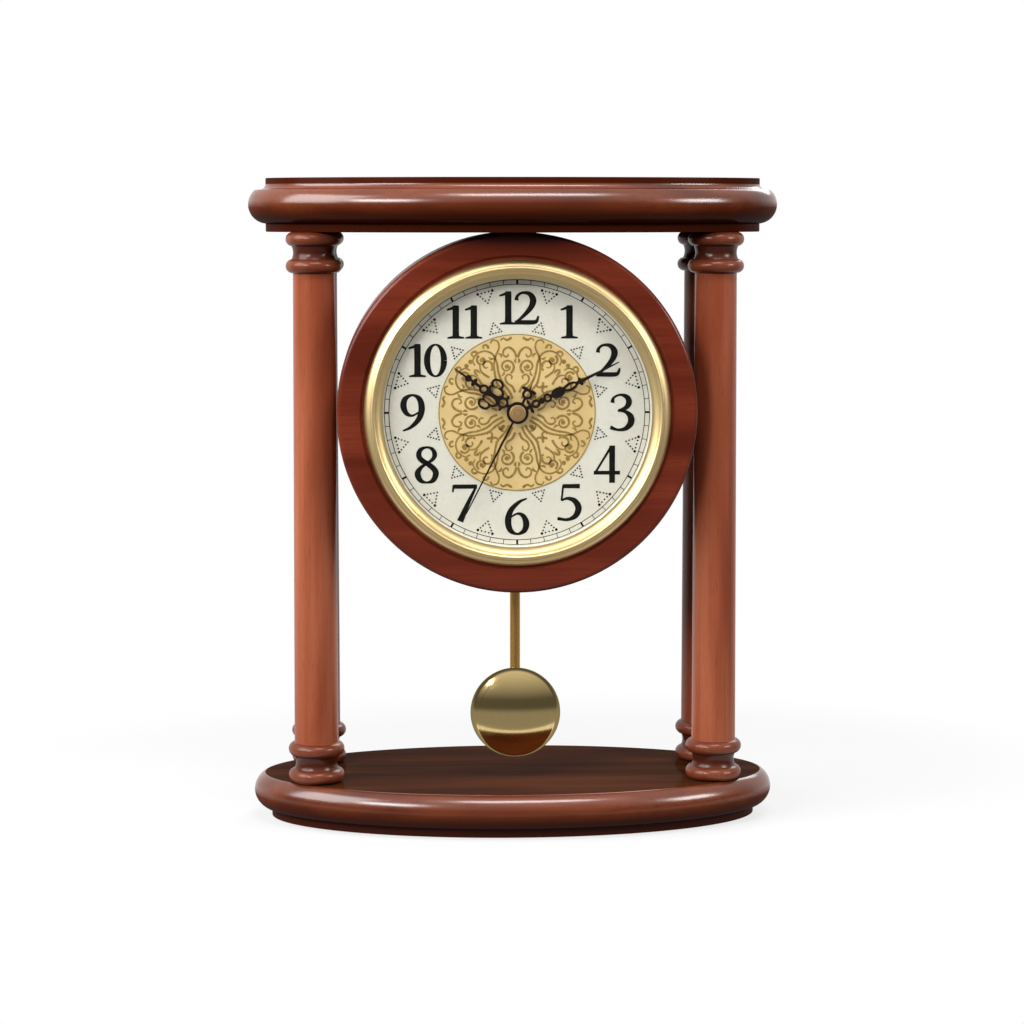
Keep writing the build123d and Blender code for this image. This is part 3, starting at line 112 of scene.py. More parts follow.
def mahogany(name, stain, along, lacquer, haze, ior=1.5, painted_shade_gloss=None):
    """Stained mahogany under lacquer, its grain along one axis: 0 across the clock, 1 front to back, 2 up.

    Broad clouds move the stain between its light and its dark tone, narrow streaks and short pores darken
    it, and the pores are rougher and a little sunk. The lacquer is a clear coat of that weight, with haze as
    its roughness, and it alone shines. With a gloss share for shade, the piece has an attribute of painted
    shade: there the stain goes to a dark shade colour, and the lacquer dulls to that share of its weight,
    fully where the painted shade reaches a set level."""
    material, tree, place = new_material(name)
    light, dark = stain
    shares = []
    for width, length, detail, least, most, strength in mahogany_figure:
        scale = [1 / width] * 3
        scale[along] = 1 / length
        stretched = add(tree, "Mapping", {"Vector": place, "Scale": scale})
        noise = add(tree, "TexNoise", {"Vector": stretched, "Scale": 1.0, "Detail": detail})
        shares.append(add(tree, "MapRange", {"Value": noise, "From Min": least, "From Max": most,
                                             "To Max": strength}))
    cloud, streak, pore = shares
    tone = add(tree, "Mix", {0: cloud, 6: to_linear(dark), 7: to_linear(light)}, data_type="RGBA")
    for share, deeper in ((streak, dark), (pore, pore_colour)):
        tone = add(tree, "Mix", {0: share, 6: tone, 7: to_linear(deeper)}, data_type="RGBA")
    if painted_shade_gloss is not None:
        painted_shade = add(tree, "Attribute", attribute_name="painted_shade").outputs["Fac"]
        tone = add(tree, "Mix", {0: painted_shade, 6: tone, 7: to_linear(painted_shade_colour)}, data_type="RGBA")
        if painted_shade_gloss < 1:
            lacquer = add(tree, "MapRange", {"Value": painted_shade, "From Max": painted_shade_dulls_at, "To Min": lacquer,
                                             "To Max": painted_shade_gloss * lacquer})
    sheen = add(tree, "MapRange", {"Value": pore, "To Min": wood_roughness, "To Max": pore_roughness})
    relief = add(tree, "Bump", {"Height": pore, "Distance": pore_depth}, invert=True)
    shader = add(tree, "BsdfPrincipled", {"Base Color": tone, "Roughness": sheen, "Normal": relief,
                                          "Specular IOR Level": 0.0, "Coat Weight": lacquer,
                                          "Coat Roughness": haze, "Coat IOR": ior})
    add(tree, "OutputMaterial", {"Surface": shader})
    return material


def oval_row(half_size, inset, height):
    """Row of points on an oval, moved inwards by inset along the oval's normal, at one height."""
    turn = np.linspace(0, 2 * np.pi, oval_steps, endpoint=False)
    spoke = np.stack([np.cos(turn), np.sin(turn)], axis=1)
    normal = spoke / half_size
    normal /= np.linalg.norm(normal, axis=1)[:, None]
    return np.column_stack([half_size * spoke - inset * normal, np.full(oval_steps, height)])


def eased_corner(before, corner, after, steps=6):
    """Points of a worn edge from before to after: a parabola drawn towards the sharp corner between them."""
    share = np.linspace(0, 1, steps)[:, None]
    before, corner, after = np.array(before), np.array(corner), np.array(after)
    return (1 - share) ** 2 * before + 2 * share * (1 - share) * corner + share ** 2 * after


def edge_section(foot, flat):
    """Section (inset, height) of a board's edge from its foot: a thin lip and, over it, the half-round nosing
    up to a flat planed at a height.

    The round's inset is its radius times the versed sine of the bend, and its height the sine. The lip's
    lower edge and the edge where the flat cuts the round are eased."""
    lip = eased_corner((nosing_overhang + edge_ease, foot), (nosing_overhang, foot),
                       (nosing_overhang, foot + edge_ease))
    lip_top = foot + lip_height
    middle = lip_top + nosing_radius
    last_bend = np.arcsin((flat - middle) / nosing_radius)
    first_bend = np.radians(nosing_first_degrees)
    bend = np.linspace(first_bend, last_bend - np.radians(edge_ease_degrees), nosing_steps)
    nosing = np.column_stack([nosing_radius * (1 - np.cos(bend)), middle + nosing_radius * np.sin(bend)])
    flat_inset = nosing_radius * (1 - np.cos(last_bend))
    corner = eased_corner(nosing[-1], (flat_inset, flat), (flat_inset + edge_ease, flat))
    return np.vstack([lip, [(nosing_overhang, lip_top)], nosing, corner[1:], corner[-1] + [edge_ease, 0]])


def grid_faces(rows, columns, closed=False):
    """Quads of a grid of points whose columns run round, and whose last row meets the first if closed."""
    index = np.arange(rows * columns).reshape(rows, columns)
    index = np.vstack([index, index[:1]]) if closed else index
    ahead = np.roll(index, -1, axis=1)
    return np.stack([index[:-1], ahead[:-1], ahead[1:], index[1:]], axis=-1).reshape(-1, 4)


def place_piece(name, mesh, materials, body, nodes=()):
    """Object of a mesh at the origin, smooth but for its crisp edges. It rides on a body and stands for CAD
    nodes."""
    mesh.materials.clear()
    for material in materials:
        mesh.materials.append(material)
    mesh.polygons.foreach_set("use_smooth", np.ones(len(mesh.polygons), bool))
    mesh.set_sharp_from_angle(angle=np.radians(crisp_edge_degrees))
    piece = bpy.data.objects.new(name, mesh)
    bpy.context.scene.collection.objects.link(piece)
    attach(piece, body)
    if nodes:
        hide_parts(*nodes)
    return piece


def make_piece(name, points, faces, materials, body, slot, nodes=()):
    """Piece with a new mesh of points and faces: poles welded and faces turned outwards."""
    mesh = bpy.data.meshes.new(name)
    mesh.from_pydata(points.reshape(-1, 3).tolist(), [], faces.tolist())
    shape = bmesh.new()
    shape.from_mesh(mesh)
    bmesh.ops.remove_doubles(shape, verts=shape.verts, dist=weld_distance)
    bmesh.ops.dissolve_degenerate(shape, edges=shape.edges, dist=weld_distance)
    bmesh.ops.recalc_face_normals(shape, faces=shape.faces)
    shape.to_mesh(mesh)
    shape.free()
    return place_piece(name, mesh, materials, body, nodes)


def make_board(name, half_size, section, finishes, node):
    """Oval board from the section (inset, height) of its edge. Its underside runs in to the middle, and so
    does its flat top, in a few rows and with the second of its finishes."""
    flat_inset, flat_height = section[-1]
    rows = [np.tile([0.0, 0.0, section[0][1]], (oval_steps, 1))]
    rows += [oval_row(half_size, inset, height) for inset, height in section]
    rows += [oval_row(share * (half_size - flat_inset), 0, flat_height) for share in flat_row_shares]
    rows += [np.tile([0.0, 0.0, flat_height], (oval_steps, 1))]
    piece = make_piece(name, np.array(rows), grid_faces(len(rows), oval_steps), finishes, "clock",
                       "mahogany_lacquer", [node])
    middles = np.empty(3 * len(piece.data.polygons))
    piece.data.polygons.foreach_get("center", middles)
    is_flat = middles[2::3] > flat_height - weld_distance
    piece.data.polygons.foreach_set("material_index", is_flat.astype(np.int32))
    return piece


def vertex_places(piece):
    """Places of a piece's vertices, one in each row."""
    places = np.empty(3 * len(piece.data.vertices))
    piece.data.vertices.foreach_get("co", places)
    return places.reshape(-1, 3)


def lay_painted_shade(piece, share):
    """Attribute of painted shade on a piece, from 0 for none to 1 for full painted shade at each vertex."""
    painted_shade = piece.data.attributes.new("painted_shade", "FLOAT", "POINT")
    painted_shade.data.foreach_set("value", np.clip(share, 0, 1).astype(np.float32))


def edge_painted_shade(heights, foot):
    """Painted shade on a board's half-round edge: it starts at a share of the radius over the lip, grows
    evenly downwards and is full at a further share of the radius below that."""
    return (foot + lip_height + painted_shade_start * nosing_radius - heights) / (painted_shade_reach * nosing_radius)


# Clear gloss lacquer shows the lamps as soft bright bands, over a stain with painted shade on the lip and the
# lower half-round edge.
# The rubbed deck shows only a faint mirror of what stands on it
board_gloss = mahogany("mahogany_gloss_lacquer_across", board_stain, 0, lacquer=1.0, haze=0.2, ior=1.65,
                       painted_shade_gloss=edge_painted_shade_gloss)
deck_satin = mahogany("mahogany_rubbed_lacquer", deck_stain_and_shade, 0, lacquer=0.04, haze=0.1)
base_half = np.array([base_high.x, base_high.y])
base_section = edge_section(base_low.z, base_high.z)
base_piece = make_board("base_board", base_half, base_section, [board_gloss, deck_satin], "base_plate")
lay_painted_shade(base_piece, edge_painted_shade(vertex_places(base_piece)[:, 2], base_low.z))

# Felt pads: four discs of pressed wool felt glued under the plinth, so that the clock does not mark the
# shelf. Felt is matt, with a short nap on its edge.
pads_low, pads_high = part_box("felt_pads")
pad_radius = 0.007
pad_edge_round = 0.0003
pad_steps = 48
felt_fibre = 0.0005
speck_noise_low = 0.3
speck_noise_high = 0.7


def speckled(tree, pattern, tones, shine, relief, sockets):
    """Shader that follows a pattern: light, smooth and high where it is 1, dark, rough and low where it is 0.

    Tones and shine are the colours and the roughness of the light and the dark specks, and relief is the
    height between them in metres."""
    light, dark = tones
    share = add(tree, "MapRange", {"Value": pattern, "From Min": speck_noise_low,
                                   "From Max": speck_noise_high})
    tone = add(tree, "Mix", {0: share, 6: to_linear(dark), 7: to_linear(light)}, data_type="RGBA")
    sheen = add(tree, "MapRange", {"Value": share, "To Min": shine[1], "To Max": shine[0]})
    bump = add(tree, "Bump", {"Height": share, "Distance": relief})
    shader = add(tree, "BsdfPrincipled", {"Base Color": tone, "Roughness": sheen, "Normal": bump,
                                          **(sockets or {})})
    add(tree, "OutputMaterial", {"Surface": shader})


def grained(name, tones, grain, shine, relief, sockets=None):
    """Finish of specks or fibres: noise whose specks have the size grain in metres, one size for every way or
    three for across, through and up."""
    material, tree, place = new_material(name)
    scale = (1 / np.broadcast_to(grain, 3)).tolist()
    stretched = add(tree, "Mapping", {"Vector": place, "Scale": scale})
    specks = add(tree, "TexNoise", {"Vector": stretched, "Scale": 1.0, "Detail": 2.0})
    speckled(tree, specks, tones, shine, relief, sockets)
    return material


def turned(profile, centre, along, steps, closed=False):
    """Points and faces of a lathe shape: each (radius, place) of the profile is carried round an axis.

    Along is 2 for an upright axis through (x, y) and 1 for a level axis, front to back, through (x, z).
    A closed profile is a ring's section. An open one begins and ends on the axis."""
    turn = np.linspace(0, 2 * np.pi, steps, endpoint=False)
    radius, place = np.array(profile, float).T
    points = np.empty((len(radius), steps, 3))
    first, second = [axis for axis in range(3) if axis != along]
    points[..., first] = centre[0] + radius[:, None] * np.cos(turn)
    points[..., second] = centre[1] + radius[:, None] * np.sin(turn)
    points[..., along] = place[:, None]
    return points, grid_faces(len(radius), steps, closed)


def together(shapes):
    """Points and faces of several shapes in one mesh, each shape's faces counted on from the one before."""
    points = [shape_points.reshape(-1, 3) for shape_points, shape_faces in shapes]
    starts = np.cumsum([0] + [len(part) for part in points])
    faces = [shape_faces + start for (shape_points, shape_faces), start in zip(shapes, starts)]
    return np.concatenate(points), np.concatenate(faces)


# Pressed wool: a dull dark green-grey with a fuzzy speckle, drawn at a few fibres' width
pressed_felt = grained("pressed_wool_felt", ("#3d443b", "#20241f"), felt_fibre, shine=(0.9, 1.0),
                       relief=0.00015, sockets={"Sheen Weight": 0.3, "Specular IOR Level": 0.1})
pad_profile = [(0, pads_low.z), (pad_radius, pads_low.z), (pad_radius, pads_high.z - pad_edge_round),
               (pad_radius - pad_edge_round, pads_high.z), (0, pads_high.z)]
pad_x = pads_high.x - pad_radius
pad_y = pads_high.y - pad_radius
pad_shapes = [turned(pad_profile, (side * pad_x, end * pad_y), 2, pad_steps)
              for side in (-1, 1) for end in (-1, 1)]
make_piece("felt_pads_under_plinth", *together(pad_shapes), [pressed_felt], "clock", "felt", ["felt_pads"])

# Columns: four turned mahogany posts with two beads and a hollow neck at each end and a shaft that thins
# upwards. Each is screwed to the base from below and holds the top plate on a dowel.
bead_radius = 0.0125
bead_height = 0.0062
neck_radius = 0.0092
neck_height = 0.0057
column_end_radius = 0.0099
shaft_foot_radius = 0.0098
shaft_head_radius = 0.0093
# Painted shade on the columns: some on the beads, nearly full in the hollow necks, and some on the back
# columns' shafts
bead_painted_shade = 0.5
hollow_painted_shade = 0.95
back_painted_shade = 0.35
column_steps = 96
column_stain = ("#bd6c4c", "#96492e")


def arc(start, middle, end, steps=15):
    """Points on the circle through three points. Its centre lies where the chords' bisectors cross."""
    first, second, third = np.array(start), np.array(middle), np.array(end)
    chords = np.array([second - first, third - first])
    centre = np.linalg.solve(2 * chords, [second @ second - first @ first, third @ third - first @ first])
    spokes = np.array([first, second, third]) - centre
    turns = np.unwrap(np.arctan2(spokes[:, 1], spokes[:, 0]))
    turn = np.linspace(turns[0], turns[2], steps)
    return (centre + np.linalg.norm(spokes[0]) * np.column_stack([np.cos(turn), np.sin(turn)])).tolist()


def column_end(end, way, shaft_radius):
    """Half section of one end of a column, from its face to its shaft: bead, hollow neck and bead.

    End is the height of the face, and way is 1 where the column goes up from it and -1 where it goes down."""
    heights = end + way * np.cumsum([0, bead_height / 2, bead_height / 2, neck_height / 2, neck_height / 2,
                                     bead_height / 2, bead_height / 2])
    radii = [column_end_radius, bead_radius, column_end_radius, neck_radius, column_end_radius, bead_radius,
             shaft_radius]
    marks = list(zip(radii, heights))
    return [(0, end)] + arc(*marks[0:3]) + arc(*marks[2:5])[1:] + arc(*marks[4:7])[1:]


# Turned wood of a lighter, more orange stain with upright grain, rubbed to a softer gloss than the boards.
# Painted shade darkens the beads, the hollows still more, and the shafts of the back columns
column_gloss = mahogany("mahogany_satin_lacquer_upright", column_stain, 2, lacquer=0.6, haze=0.24,
                        painted_shade_gloss=1.0)
for column_node in ("front_left_column", "front_right_column", "back_left_column", "back_right_column"):
    column_low, column_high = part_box(column_node)
    column_middle = (column_low + column_high) / 2
    column_profile = column_end(column_low.z, 1, shaft_foot_radius)
    column_profile += column_end(column_high.z, -1, shaft_head_radius)[::-1]
    column_shape = turned(column_profile, (column_middle.x, column_middle.y), 2, column_steps)
    column_piece = make_piece(column_node + "_turned", *column_shape, [column_gloss], "clock",
                              "mahogany_lacquer", [column_node])
    column_places = vertex_places(column_piece)
    column_radii = np.hypot(column_places[:, 0] - column_middle.x, column_places[:, 1] - column_middle.y)
    end_reach = np.minimum(column_places[:, 2] - column_low.z, column_high.z - column_places[:, 2])
    hollow_share = (bead_radius - column_radii) / (bead_radius - neck_radius)
    is_end = end_reach < 2 * bead_height + neck_height - weld_distance
    end_painted_shade = bead_painted_shade + (hollow_painted_shade - bead_painted_shade) * hollow_share
    shaft_painted_shade = back_painted_shade if column_middle.y > 0 else 0
    lay_painted_shade(column_piece, np.maximum(np.where(is_end, end_painted_shade, 0), shaft_painted_shade))

# Column fixings: zinc-plated wood screws in the base's counterbores and beech dowels under the top plate,
# all hidden once the clock stands up. The case's two screws are of the same kind.
zinc_crystal = 0.0015
beech_fleck = (0.0006, 0.0006, 0.009)


def dress(nodes, material):
    """Gives CAD pieces their finish, and leaves their meshes as they are."""
    for node in nodes:
        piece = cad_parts[node]
        piece.data.materials.clear()
        piece.data.materials.append(material)


# Bright zinc is a pale soft mirror with a faint crystal mottle; bare beech is pale and dry with short flecks
zinc_steel = grained("zinc_plated_steel", ("#cfd0cf", "#bcc1c6"), zinc_crystal, shine=(0.24, 0.36),
                     relief=0.000004, sockets={"Metallic": 1.0})
bare_beech = grained("bare_beech", ("#dcbd93", "#bd9263"), beech_fleck, shine=(0.65, 0.8), relief=0.00003)
dress(["column_screws", "case_screws"], zinc_steel)
dress(["column_dowels"], bare_beech)

# Top plate: an oval board a little larger than the base, moulded, stained and lacquered like it. Over the
# half-round edge a narrow shoulder and a hollow lead up to a thin lip, and a second lip sits on the columns.
top_low, top_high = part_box("top_plate")
shoulder_depth = 0.0052
shoulder_z = top_high.z - shoulder_depth
cove_radius = 0.0028
cove_steps = 9
cove_bend = np.linspace(0, np.pi / 2, cove_steps)
top_cove = np.column_stack([nosing_overhang - cove_radius * (1 - np.sin(cove_bend)),
                            shoulder_z + cove_radius * (1 - np.cos(cove_bend))])
top_edge = eased_corner((nosing_overhang, top_high.z - edge_ease), (nosing_overhang, top_high.z),
                        (nosing_overhang + edge_ease, top_high.z))
top_section = np.vstack([edge_section(top_low.z, shoulder_z), top_cove, top_edge])
# The flat of the top is rubbed to an even satin, which spreads the lamps into a broad soft sheen
top_satin = mahogany("mahogany_satin_lacquer_top", board_stain, 0, lacquer=0.35, haze=0.45)
top_half = np.array([top_high.x, top_high.y])
top_piece = make_board("top_board", top_half, top_section, [board_gloss, top_satin], "top_plate")
# Painted shade covers the upper lip all over, and the lower part of the half-round edge like the base's
top_heights = vertex_places(top_piece)[:, 2]
over_cove = top_heights > shoulder_z + cove_radius - weld_distance
under_flat = top_heights < top_high.z - weld_distance
lay_painted_shade(top_piece, np.where(over_cove & under_flat, 1, edge_painted_shade(top_heights, top_low.z)))

# Case front ring: turned from one mahogany blank, rounded outside, with a recess for the bezel, a bore for
# its sleeve and a ledge that the dial rests on. A narrow flat meets the top plate.
ring_low, ring_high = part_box("case_front_ring")
bezel_low, bezel_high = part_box("bezel")
dial_z = (bezel_low.z + bezel_high.z) / 2
case_radius = ring_high.x
case_edge_round = 0.002
case_recess_radius = 0.0682
case_recess_bevel = 0.001
case_bore_radius = 0.0656
case_ledge_radius = 0.057
bezel_seat_y = -0.043
dial_back_y = -0.037
ring_steps = 360
case_stain = ("#7f3420", "#5c2012")
case_lacquer = 0.5
case_haze = 0.2


def rounded_edge(radius, front, size, steps=9):
    """Quarter round (radius, place) of a lathe shape, from its side to its front face: the arc through both
    ends and its own middle."""
    halfway = size * (1 - np.sqrt(0.5))
    return arc((radius, front + size), (radius - halfway, front + halfway), (radius - size, front), steps)


ring_profile = [(case_ledge_radius, ring_high.y), (case_radius, ring_high.y)]
ring_profile += rounded_edge(case_radius, ring_low.y, case_edge_round)
ring_profile += [(case_recess_radius + case_recess_bevel, ring_low.y), (case_recess_radius, bezel_seat_y),
                 (case_bore_radius, bezel_seat_y), (case_bore_radius, dial_back_y),
                 (case_ledge_radius, dial_back_y)]
# The same stain on end grain and long grain takes deeper, so that the ring is redder and darker
ring_gloss = mahogany("mahogany_gloss_lacquer_ring", case_stain, 0, case_lacquer, case_haze)
ring_points, ring_faces = turned(ring_profile, (0, dial_z), 1, ring_steps, closed=True)
ring_points[..., 2] = np.minimum(ring_points[..., 2], ring_high.z)
make_piece("case_ring_turned", ring_points, ring_faces, [ring_gloss], "clock", "mahogany_lacquer",
           ["case_front_ring"])

# Case drum: a mahogany tube glued behind the ring, with a slot below for the pendulum and a rebate for the
# cover. Its mesh is a copy of the CAD one, welded so that the lacquer shows an even round.
drum_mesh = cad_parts["case_drum"].data.copy()
drum_shape = bmesh.new()
drum_shape.from_mesh(drum_mesh)
bmesh.ops.remove_doubles(drum_shape, verts=drum_shape.verts, dist=weld_distance)
drum_shape.to_mesh(drum_mesh)
drum_shape.free()
# Veneer bent round the tube, stained like the ring, with its grain from front to back
drum_gloss = mahogany("mahogany_gloss_lacquer_drum", case_stain, 1, case_lacquer, case_haze)
place_piece("case_drum_tube", drum_mesh, [drum_gloss], "clock", ["case_drum"])

# Bezel: a brass ring turned with a pale inner lip, a hollow up to a bright ridge and a round shoulder, then
# lacquered satin. Its sleeve slips into the case and holds the lens, the spacer and the dial.
bezel_radius = bezel_high.x
bezel_opening = 0.059
bezel_pocket = 0.0621
bezel_sleeve = 0.0655
bezel_lip_back = -0.04365
bezel_lip_front = -0.0446
bezel_edge_front = -0.0438
bezel_ridge_radius = 0.0634
bezel_hollow_end = (0.0623, -0.0464)
bezel_shoulder_start = (0.0645, -0.0466)
bezel_swell = 0.00045
turning_mark = 0.0007


def swelling(start, end, swell, steps=13):
    """Arc from start to end that swells to the right of its way, or to the left if swell is negative."""
    first, last = np.array(start), np.array(end)
    way = (last - first) / np.linalg.norm(last - first)
    return arc(start, (first + last) / 2 + swell * np.array([way[1], -way[0]]), end, steps)


def lathed(name, tones, height, mark, shine, relief, sockets):
    """Finish with turning marks: noise read by the distance from a level axis at a height, so that it makes
    rings, each a mark's width."""
    material, tree, place = new_material(name)
    spoke = add(tree, "Mapping", {"Vector": place, "Location": (0, 0, -height), "Scale": (1, 0, 1)})
    reach = add(tree, "VectorMath", {0: spoke}, operation="LENGTH")
    rings = add(tree, "TexNoise", {"W": reach, "Scale": 1 / mark, "Detail": 1.0}, noise_dimensions="1D")
    speckled(tree, rings, tones, shine, relief, sockets)
    return material


bezel_profile = [(bezel_opening, bezel_lip_back)]
bezel_profile += swelling((bezel_opening, bezel_lip_front), bezel_hollow_end, -bezel_swell)
bezel_profile += arc(bezel_hollow_end, (bezel_ridge_radius, bezel_low.y), bezel_shoulder_start)[1:]
bezel_profile += swelling(bezel_shoulder_start, (bezel_radius, bezel_edge_front), bezel_swell)[1:]
bezel_profile += [(bezel_radius, bezel_seat_y), (bezel_sleeve, bezel_seat_y), (bezel_sleeve, bezel_high.y),
                  (bezel_pocket, bezel_high.y), (bezel_pocket, bezel_lip_back)]
# Satin lacquered brass spreads each lamp into a pale golden sheen; its turning marks, really a tenth of a
# millimetre apart, are drawn wider so that they show
satin_brass = lathed("satin_lacquered_brass", ("#e6cf9c", "#d7ba80"), dial_z, turning_mark,
                     shine=(0.38, 0.46), relief=0.000006, sockets={"Metallic": 1.0})
make_piece("bezel_turned", *turned(bezel_profile, (0, dial_z), 1, ring_steps, closed=True), [satin_brass],
           "clock", "bezel_brass", ["bezel"])

# Lens: mineral glass pressed to a shallow dome of even thickness, its flat flange held behind the bezel's
# lip. Both faces are fire polished.
lens_low, lens_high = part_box("lens")
lens_radius = lens_high.x
lens_thickness = 0.0016
lens_dome_radius = 0.0589
lens_flange_front = lens_high.y - lens_thickness
lens_steps = 240


def dome(rim_radius, rim, crown, steps=33):
    """Half section of a round dome from its crown on the axis to its rim: a circle's arc of that rise."""
    rise = rim - crown
    ball = (rim_radius ** 2 + rise ** 2) / (2 * rise)
    bend = np.linspace(0, np.arcsin(rim_radius / ball), steps)
    return np.column_stack([ball * np.sin(bend), crown + ball * (1 - np.cos(bend))]).tolist()


lens_profile = dome(lens_dome_radius, lens_flange_front, lens_low.y)
lens_profile += [(lens_radius, lens_flange_front), (lens_radius, lens_high.y)]
lens_profile += dome(lens_dome_radius - lens_thickness, lens_high.y, lens_low.y + lens_thickness)[::-1]
# Clear polished glass, seen by its faint reflections; lamp light passes it to the dial
lens_glass, lens_tree = new_material("clear_mineral_glass")[:2]
lens_shader = add(lens_tree, "BsdfPrincipled", {"Base Color": to_linear("#fbfdfc"), "Roughness": 0.0,
                                                "IOR": 1.5, "Transmission Weight": 1.0})
lens_shadow = add(lens_tree, "BsdfTransparent", {"Color": to_linear("#f8faf9")})
lens_ray = add(lens_tree, "LightPath")
lens_mix = add(lens_tree, "MixShader", {0: lens_ray.outputs["Is Shadow Ray"], 1: lens_shader, 2: lens_shadow})
add(lens_tree, "OutputMaterial", {"Surface": lens_mix})
make_piece("lens_domed", *turned(lens_profile, (0, dial_z), 1, lens_steps), [lens_glass], "clock",
           "lens_glass", ["lens"])

# Spacer ring and gasket: a pale plastic ring keeps the lens off the dial, and a rubber washer lies behind
# the dial. Both are moulded.
moulding_grit = 0.0008
# A mould's spark-eroded face gives plastic a fine dull grain, drawn coarser than it is; rubber is duller
ivory_plastic = grained("moulded_ivory_plastic", ("#e6e0cf", "#dcd4be"), moulding_grit, shine=(0.42, 0.55),
                        relief=0.00001)
gasket_rubber = grained("soft_black_rubber", ("#242424", "#161616"), moulding_grit, shine=(0.75, 0.9),
                        relief=0.00002)
dress(["dial_spacer_ring"], ivory_plastic)
dress(["dial_gasket"], gasket_rubber)

# Dial: a sheet-metal disc painted satin silver-white and printed in black with a minute track, twelve
# Arabic numerals and dotted triangles between them.
dial_low, dial_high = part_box("dial")
dial_radius = dial_high.x
dial_hole = 0.0047
paint_flake = 0.0012
ink_mottle = 0.0015
ink_thickness = 0.00005
ink_step = 0.1
track_inner = 0.0562
track_outer = 0.0582
track_line = 0.0003
minute_tick = 0.0003
hour_tick = 0.0009
numeral_ring = 0.0459
digit_gap = 0.0079
outer_triangle_ring = 0.0525
inner_triangle_ring = 0.0379
dot_radius = 0.00042
corner_dot_radius = 0.00065
dot_sides = 8
dots_on_side = 4
shortest_step = 1e-12
millimetre = 0.001
dial_profile = [(dial_hole, dial_high.y), (dial_radius, dial_high.y), (dial_radius, dial_low.y),
                (dial_hole, dial_low.y)]
# Satin paint with metal flake, drawn coarser than it is: a pale grey-white that glints very softly
silver_paint = grained("satin_silver_paint", ("#cbc5bb", "#c5bfb4"), paint_flake, shine=(0.42, 0.55),
                       relief=0.000003, sockets={"Specular IOR Level": 0.2})
make_piece("dial_plate", *turned(dial_profile, (0, dial_z), 1, lens_steps, closed=True), [silver_paint],
           "clock", "dial_silver", ["dial"])


def clock_way(degrees):
    """Way (across, up) of an angle that runs clockwise from twelve: its sine and its cosine."""
    turn = np.radians(degrees)
    return np.array([np.sin(turn), np.cos(turn)])


def smooth_line(nodes, steps=10):
    """Smooth line through a few nodes (across, up, width): between two nodes a cubic that leaves and arrives
    along the chord of its neighbours, so that the line bends evenly."""
    nodes = np.array(nodes, float)
    ends = np.vstack([2 * nodes[0] - nodes[1], nodes, 2 * nodes[-1] - nodes[-2]])
    before, start, stop, after = (part[:, None, :] for part in (ends[:-3], ends[1:-2], ends[2:-1], ends[3:]))
    share = np.linspace(0, 1, steps, endpoint=False)[None, :, None]
    line = start + 0.5 * share * (stop - before + share * (2 * before - 5 * start + 4 * stop - after
                                                           + share * (3 * start - before - 3 * stop + after)))
    return np.vstack([line.reshape(-1, nodes.shape[1]), nodes[-1:]])


def ink_front(back, layer):
    """Front of a layer of ink on a face: each further layer is a step thicker, so that no two fronts meet."""
    return back - ink_thickness * (1 + ink_step * layer)


def bar_along(line, back, layer=0):
    """Thin bar of ink along a line (across, up, width): a flat box section square to the line's way."""
    way = np.gradient(line[:, :2], axis=0)
    way /= np.maximum(np.linalg.norm(way, axis=1), shortest_step)[:, None]
    side = np.column_stack([way[:, 1], -way[:, 0]]) * line[:, 2:3] / 2
    right, left = line[:, :2] + side, line[:, :2] - side
    front = ink_front(back, layer)
    section = [(left, back), (right, back), (right, front), (left, front)]
    points = np.stack([np.column_stack([edge[:, 0], np.full(len(line), y), dial_z + edge[:, 1]])
                       for edge, y in section], axis=1)
    caps = np.array([[0, 1, 2, 3], [3, 2, 1, 0]])
    caps[1] += 4 * (len(line) - 1)
    return points, np.vstack([grid_faces(len(line), 4), caps])


def ring_line(radius, width, steps=360):
    """Closed circle as a line: its last point meets its first."""
    turn = np.linspace(0, 2 * np.pi, steps + 1)
    return np.column_stack([radius * np.sin(turn), radius * np.cos(turn), np.full(steps + 1, width)])


def dots(places, radii, back, layer=0):
    """Round dots of ink as low prisms, all worked out at once: a ring of corners round each place, twice."""
    turn = np.linspace(0, 2 * np.pi, dot_sides, endpoint=False)
    ring = np.stack([np.cos(turn), np.sin(turn)], axis=1)
    flat = places[:, None, :] + radii[:, None, None] * ring
    points = np.stack([np.stack([flat[..., 0], np.full(flat.shape[:2], y), dial_z + flat[..., 1]], axis=-1)
                       for y in (back, ink_front(back, layer))], axis=1)
    corner = np.arange(dot_sides)
    ahead = np.roll(corner, -1)
    walls = np.column_stack([corner, ahead, ahead + dot_sides, corner + dot_sides])
    fan = np.column_stack([np.full(dot_sides // 2 - 1, 0), corner[1:-2:2], corner[2:-1:2], corner[3::2]])
    faces = np.vstack([walls, fan, fan + dot_sides])
    starts = 2 * dot_sides * np.arange(len(places))
    return points, (faces[None] + starts[:, None, None]).reshape(-1, 4)


